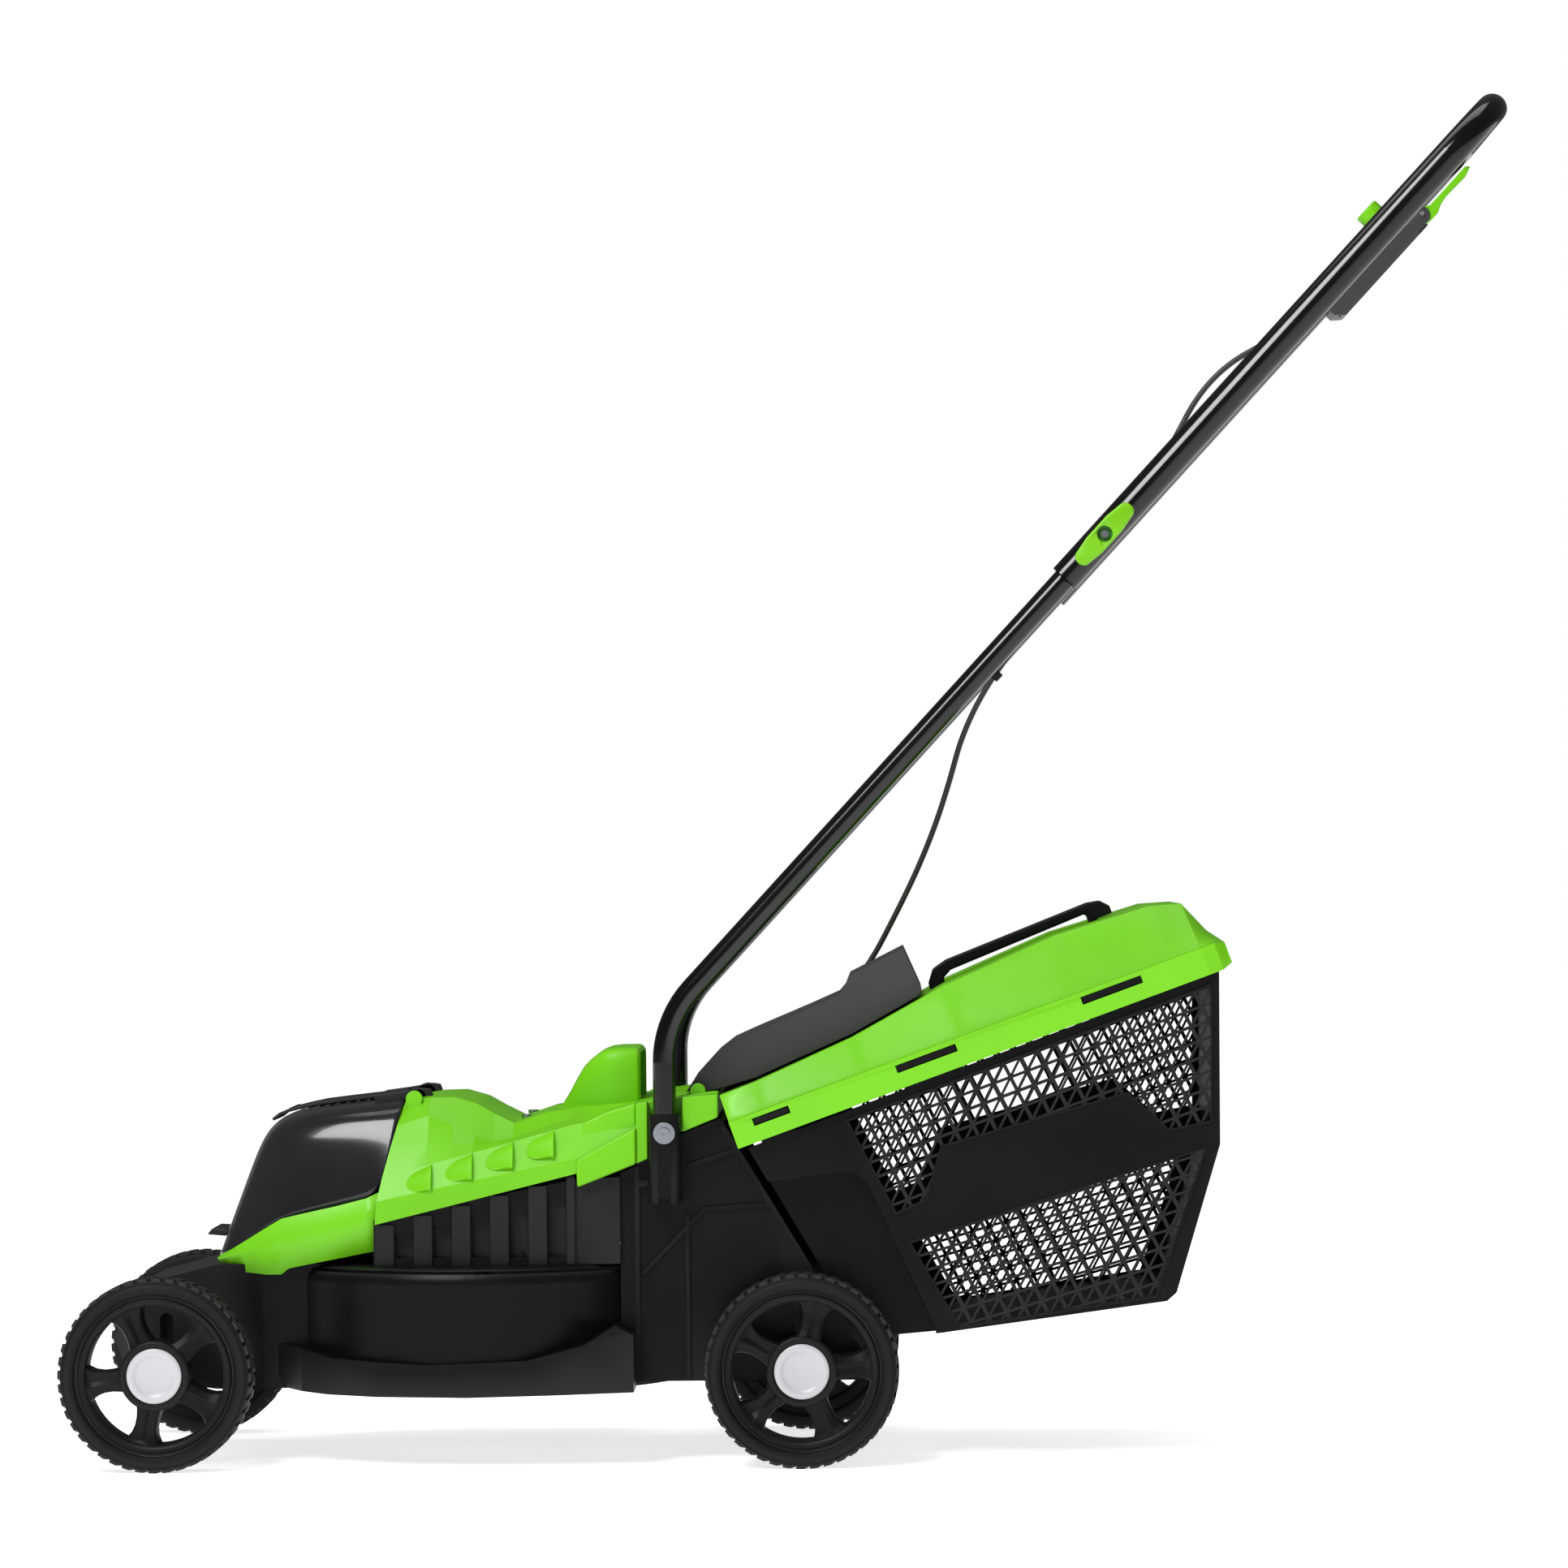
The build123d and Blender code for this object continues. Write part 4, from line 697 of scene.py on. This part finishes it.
STRIP_RUN = [(-438, 283.5), (-432, 288.2), (-424, 291.2), (-411, 294.4), (-398, 297.0), (-380, 299.2),
             (-362, 301.2), (-340, 303.6), (-328, 304.8)]
STRIP_THICKNESS, STRIP_HALF, STRIP_RIBS, STRIP_RIB_HALF = 2.6, 40, 9, 34
ARM = [(-350, 298), (-332, 299.5), (-318, 297), (-306, 298), (-301, 304), (-303, 309), (-309, 310),
       (-330, 306.6), (-350, 304)]
ARM_YS = (46, 60)
HINGE_X, HINGE_Z, KNUCKLE_R = -314, 302, 8.4


def cover_strip():
    """The ribbed strip along the cover's top and the two arms that reach its hinge."""
    solids = [prism(ribbon(STRIP_RUN, STRIP_THICKNESS), -STRIP_HALF, STRIP_HALF)]
    for k in range(STRIP_RIBS):
        x = -425 + k * 8.6
        z = 292.2 + k * 1.05
        rib = [(x, z - 1.5), (x + 4.2, z - 1.1), (x + 3.6, z + 1.5), (x + 0.6, z + 1.1)]
        solids.append(prism(rib, -STRIP_RIB_HALF, STRIP_RIB_HALF))
    for _, side in SIDES:
        solids.append(prism(ARM, *side_y(side, *ARM_YS)))
        solids.append(prism(arc(HINGE_X, HINGE_Z, KNUCKLE_R, 0, 330, 11), *side_y(side, *ARM_YS)))
    verts, faces = merged(*solids)
    piece("cover_strip", verts, faces, CASE, "battery_cover", 0.6, 25, ["cover_arms"])


def cover():
    """The tinted cover: one blown shell with a soft shoulder."""
    rows = []
    for row in COVER:
        half = [(x, y, z) for x, y, z in reversed(row)]
        rows.append(mirrored(half))
    obj = piece("cover_shell", *skin(rows), GLASS, "battery_cover", 0.0, 180, ["cover_window"])
    soften(obj, 3)
    thicken(obj, 2.6)
    cover_strip()
    tab = prism([(-495, 186.5), (-491, 191.5), (-482, 191), (-476.5, 189.5), (-479, 185)], -34, 34)
    piece("cover_tab", *tab, CASE, "battery_cover", 1.0, 25)


# ---------------------------------------------------------------- basket

UPPER_WINDOW = [(49, 284), (351, 394), (350, 281), (315, 274), (281, 305), (127, 262), (114, 218), (89, 207)]
LOWER_WINDOW = [(100, 183), (345, 259), (303, 137), (141, 113), (129, 133)]
BAR_PITCH = 15.3


def crossings(outline, origin, direction):
    """The stretches of a line that lie inside an outline, as pairs of distances along it."""
    hits = []
    n = len(outline)
    for i in range(n):
        ax, az = outline[i]
        bx, bz = outline[(i + 1) % n]
        ex, ez = bx - ax, bz - az
        cross = direction[0] * ez - direction[1] * ex
        if abs(cross) < 1e-9:
            continue
        wx, wz = ax - origin[0], az - origin[1]
        along = (wx * ez - wz * ex) / cross
        share = (wx * direction[1] - wz * direction[0]) / cross
        if 0 <= share < 1:
            hits.append(along)
    hits.sort()
    return list(zip(hits[::2], hits[1::2]))


def lattice(outline, tilt, y0, y1):
    """Three families of bars across a window, in triangles."""
    solids = []
    row = (cos(radians(tilt)), sin(radians(tilt)))
    down = (-5.9, 11.8)
    up = (row[0] * BAR_PITCH + down[0], row[1] * BAR_PITCH + down[1])
    families = ((row, down, 2.2, 0.0), (down, (row[0] * BAR_PITCH, row[1] * BAR_PITCH), 3.1, 0.3),
                (up, (row[0] * BAR_PITCH, row[1] * BAR_PITCH), 2.0, 0.6))
    cx, cz = outline[0]
    for heading, step, width, back in families:
        size = hypot(*heading)
        direction = (heading[0] / size, heading[1] / size)
        for k in range(-40, 60):
            origin = (cx + step[0] * k, cz + step[1] * k)
            for a, b in crossings(outline, origin, direction):
                if b - a < 2:
                    continue
                ends = [(origin[0] + direction[0] * t, origin[1] + direction[1] * t) for t in (a - 0.8,
                                                                                               b + 0.8)]
                solids.append(prism(ribbon(ends, width), y0 + back, y1 - back))
    return solids


def evaluated(obj):
    """A mesh with an object's modifiers applied."""
    bpy.context.view_layer.update()
    return bpy.data.meshes.new_from_object(obj.evaluated_get(bpy.context.evaluated_depsgraph_get()))


def helper(name, verts, faces):
    """A cutter that is removed after its boolean."""
    mesh = bpy.data.meshes.new(name)
    mesh.from_pydata([Vector(v) * MM for v in verts], [], faces)
    bm = bmesh.new()
    bm.from_mesh(mesh)
    bmesh.ops.recalc_face_normals(bm, faces=bm.faces)
    bm.to_mesh(mesh)
    bm.free()
    obj = bpy.data.objects.new(name, mesh)
    bpy.context.collection.objects.link(obj)
    return obj


def carved(name, node, cutters, material, body, bevel, angle=30.0):
    """A copy of a CAD node with openings cut through it."""
    source = bpy.data.objects.new(name, NODES[node].data.copy())
    source.data.name = name
    bpy.context.collection.objects.link(source)
    weld = source.modifiers.new("weld", "WELD")
    weld.merge_threshold = 1e-6
    for cutter in cutters:
        cut = source.modifiers.new("cut", "BOOLEAN")
        cut.object = cutter
        cut.solver = "EXACT"
        cut.operation = "DIFFERENCE"
    mesh = evaluated(source)
    for attribute in [a.name for a in mesh.attributes if a.name == "custom_normal"]:
        mesh.attributes.remove(mesh.attributes[attribute])
    source.modifiers.clear()
    source.data = mesh
    for cutter in cutters:
        bpy.data.objects.remove(cutter)
    mesh.materials.clear()
    mesh.materials.append(material)
    finish_mesh(source, bevel, angle)
    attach(source, body)
    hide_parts(node)
    return source


def basket():
    cutters = [helper(f"window_{k}", *prism(outline, -170, 170)) for k,
               outline in enumerate((UPPER_WINDOW, LOWER_WINDOW))]
    carved("basket_shell", "basket", cutters, BLACK, "grass_box", 0.6)
    solids = []
    for _, side in SIDES:
        y0, y1 = side_y(side, 147.6, 150.2)
        solids += lattice(UPPER_WINDOW, 19.8, y0, y1)
        solids += lattice(LOWER_WINDOW, 16.4, y0, y1)
    verts, faces = merged(*solids)
    piece("basket_lattice", verts, faces, BLACK, "grass_box")
    solids = []
    for _, side in SIDES:
        y0, y1 = side_y(side, 149.6, 151.4)
        for outline in (UPPER_WINDOW, LOWER_WINDOW):
            loop = outline + outline[:1]
            for a, b in zip(loop, loop[1:]):
                solids.append(prism(ribbon([a, b], 1.8), y0, y1))
    verts, faces = merged(*solids)
    piece("basket_frames", verts, faces, BLACK, "grass_box", 0.4, 30)


# ---------------------------------------------------------------- fold knobs

KNOB_Y = (178.7, 190.0)
RECESS_R, RECESS_DEPTH, BOLT_CLEAR_R = 6.5, 6.0, 3.4
KNOB_OUTLINE = [(-32, -3), (-29, -6.5), (-12, -9), (12, -9), (29, -6.5), (32, -3), (32, 3), (29, 6.5),
                (12, 9), (-12, 9), (-29, 6.5), (-32, 3)]


def fold_knob(name, side):
    """A two-winged knob, its rounded body carved by a recess with a cup in it, the cup painted darker green as
    shade.
    """
    y0, y1 = side_y(side, *KNOB_Y)
    verts, faces = prism(KNOB_OUTLINE, y0, y1)
    blank = helper(f"wing_knob_{name}_look", [HANDLE @ Vector(v) for v in verts], faces)
    finish_mesh(blank, 2.0, 22.0, 4)
    circle = arc(BOLT_X, BOLT_Z, RECESS_R, 0, 352.5, 47)
    cutter = helper("recess", *prism(circle, *side_y(side, KNOB_Y[1] - RECESS_DEPTH, KNOB_Y[1] + 4)))
    cut = blank.modifiers.new("cut", "BOOLEAN")
    cut.object = cutter
    cut.solver = "EXACT"
    mesh = evaluated(blank)
    blank.modifiers.clear()
    blank.data = mesh
    bpy.data.objects.remove(cutter)
    mesh.materials.clear()
    mesh.materials.append(KNOB)
    finish_mesh(blank, 0.0, 40.0)
    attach(blank, f"{name}_knob")
    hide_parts(f"wing_knob_{name}")
    rings = ((RECESS_R - 0.05, 0.4), (RECESS_R - 0.05, RECESS_DEPTH - 0.2), (BOLT_CLEAR_R, RECESS_DEPTH - 0.1))
    cup = [arc(BOLT_X, BOLT_Z, radius, 0, 352.5, 47) for radius, _ in rings]
    depths = [side * (KNOB_Y[1] - drop) for _, drop in rings]
    rows = [[(x, depth, z) for x, z in ring] for ring, depth in zip(cup, depths)]
    piece(f"knob_cup_{name}", *skin(rows, closed_rows=True), GREEN_PAINTED_SHADE, f"{name}_knob")


# ---------------------------------------------------------------- carried-over CAD pieces

def dress(name, material, bevel=0.0, angle=28.0, segments=2):
    """A carried-over CAD node: its own material, and softened edges where it was sharp."""
    obj = NODES[name]
    if not obj.data.materials:
        obj.data.materials.append(material)
    for slot in obj.material_slots:
        slot.link = "OBJECT"
        slot.material = material
    if bevel:
        weld = obj.modifiers.new("weld", "WELD")
        weld.merge_threshold = 1e-6
        rounding = obj.modifiers.new("rounding", "BEVEL")
        rounding.width = bevel * MM
        rounding.segments = segments
        rounding.limit_method = "ANGLE"
        rounding.angle_limit = radians(angle)
        rounding.use_clamp_overlap = True
        rounding.harden_normals = True


DRESS = {
    "deck": (BLACK, 0), "vent_housing": (BLACK, 0), "hood_screws": (ZINC, 0.3),
    "cover_pin": (STEEL, 0), "battery_tray": (BLACK, 0.5), "battery_pack": (CASE, 1.0),
    "battery_latch": (GREEN, 0.5),
    "battery_terminals": (BRASS, 0.2), "safety_key": (KNOB, 0.6), "motor_can": (ALU, 0.6),
    "motor_shaft": (STEEL, 0.3),
    "cooling_fan": (BLACK, 0.3), "blade_adapter": (ALU, 0.5), "blade": (BLADE, 0.3),
    "blade_bolt": (ZINC, 0.3),
    "control_board": (BOARD, 0.2), "front_axle": (STEEL, 0.3), "rear_axle": (STEEL, 0.3),
    "sleeve_screws": (ZINC, 0.25),
    "sleeve_washers": (ZINC, 0.25), "handle_sleeve_left": (BLACK, 0.8), "handle_sleeve_right": (BLACK, 0.8),
    "lower_tube_left": (PAINT, 0), "lower_tube_right": (PAINT, 0), "upper_tube": (PAINT, 0),
    "handle_bolts": (ZINC, 0.3), "switch_housing": (GREY, 1.0),
    "switch_cover": (GREY, 1.0), "strain_relief": (CABLE, 0), "microswitch": (CASE, 0.3),
    "power_button": (GREEN, 0.8),
    "button_spring": (STEEL, 0), "power_lever": (GREEN, 1.0), "lever_pin": (STEEL, 0),
    "rear_flap": (GREY, 1.0),
    "flap_rod": (STEEL, 0), "flap_spring": (STEEL, 0), "box_lid": (GREEN, 1.2), "box_handle": (BLACK, 2.0),
    "cable_gland": (CABLE, 0.3), "cable_clip": (BLACK, 0.3),
}


# ---------------------------------------------------------------- everything

camera()
cable()
studio()
for wheel_name, (wheel_x, wheel_side, wheel_angle) in WHEELS.items():
    wheel(wheel_name, wheel_x, wheel_side, wheel_angle)
hood_shell()
hood_details()
vent_shade()
hump()
hood_rear()
collar()
cover()
basket()
for knob_name, knob_side in SIDES:
    fold_knob(knob_name, knob_side)
for node_name, (finish, edge) in DRESS.items():
    dress(node_name, finish, edge)
bpy.context.view_layer.update()
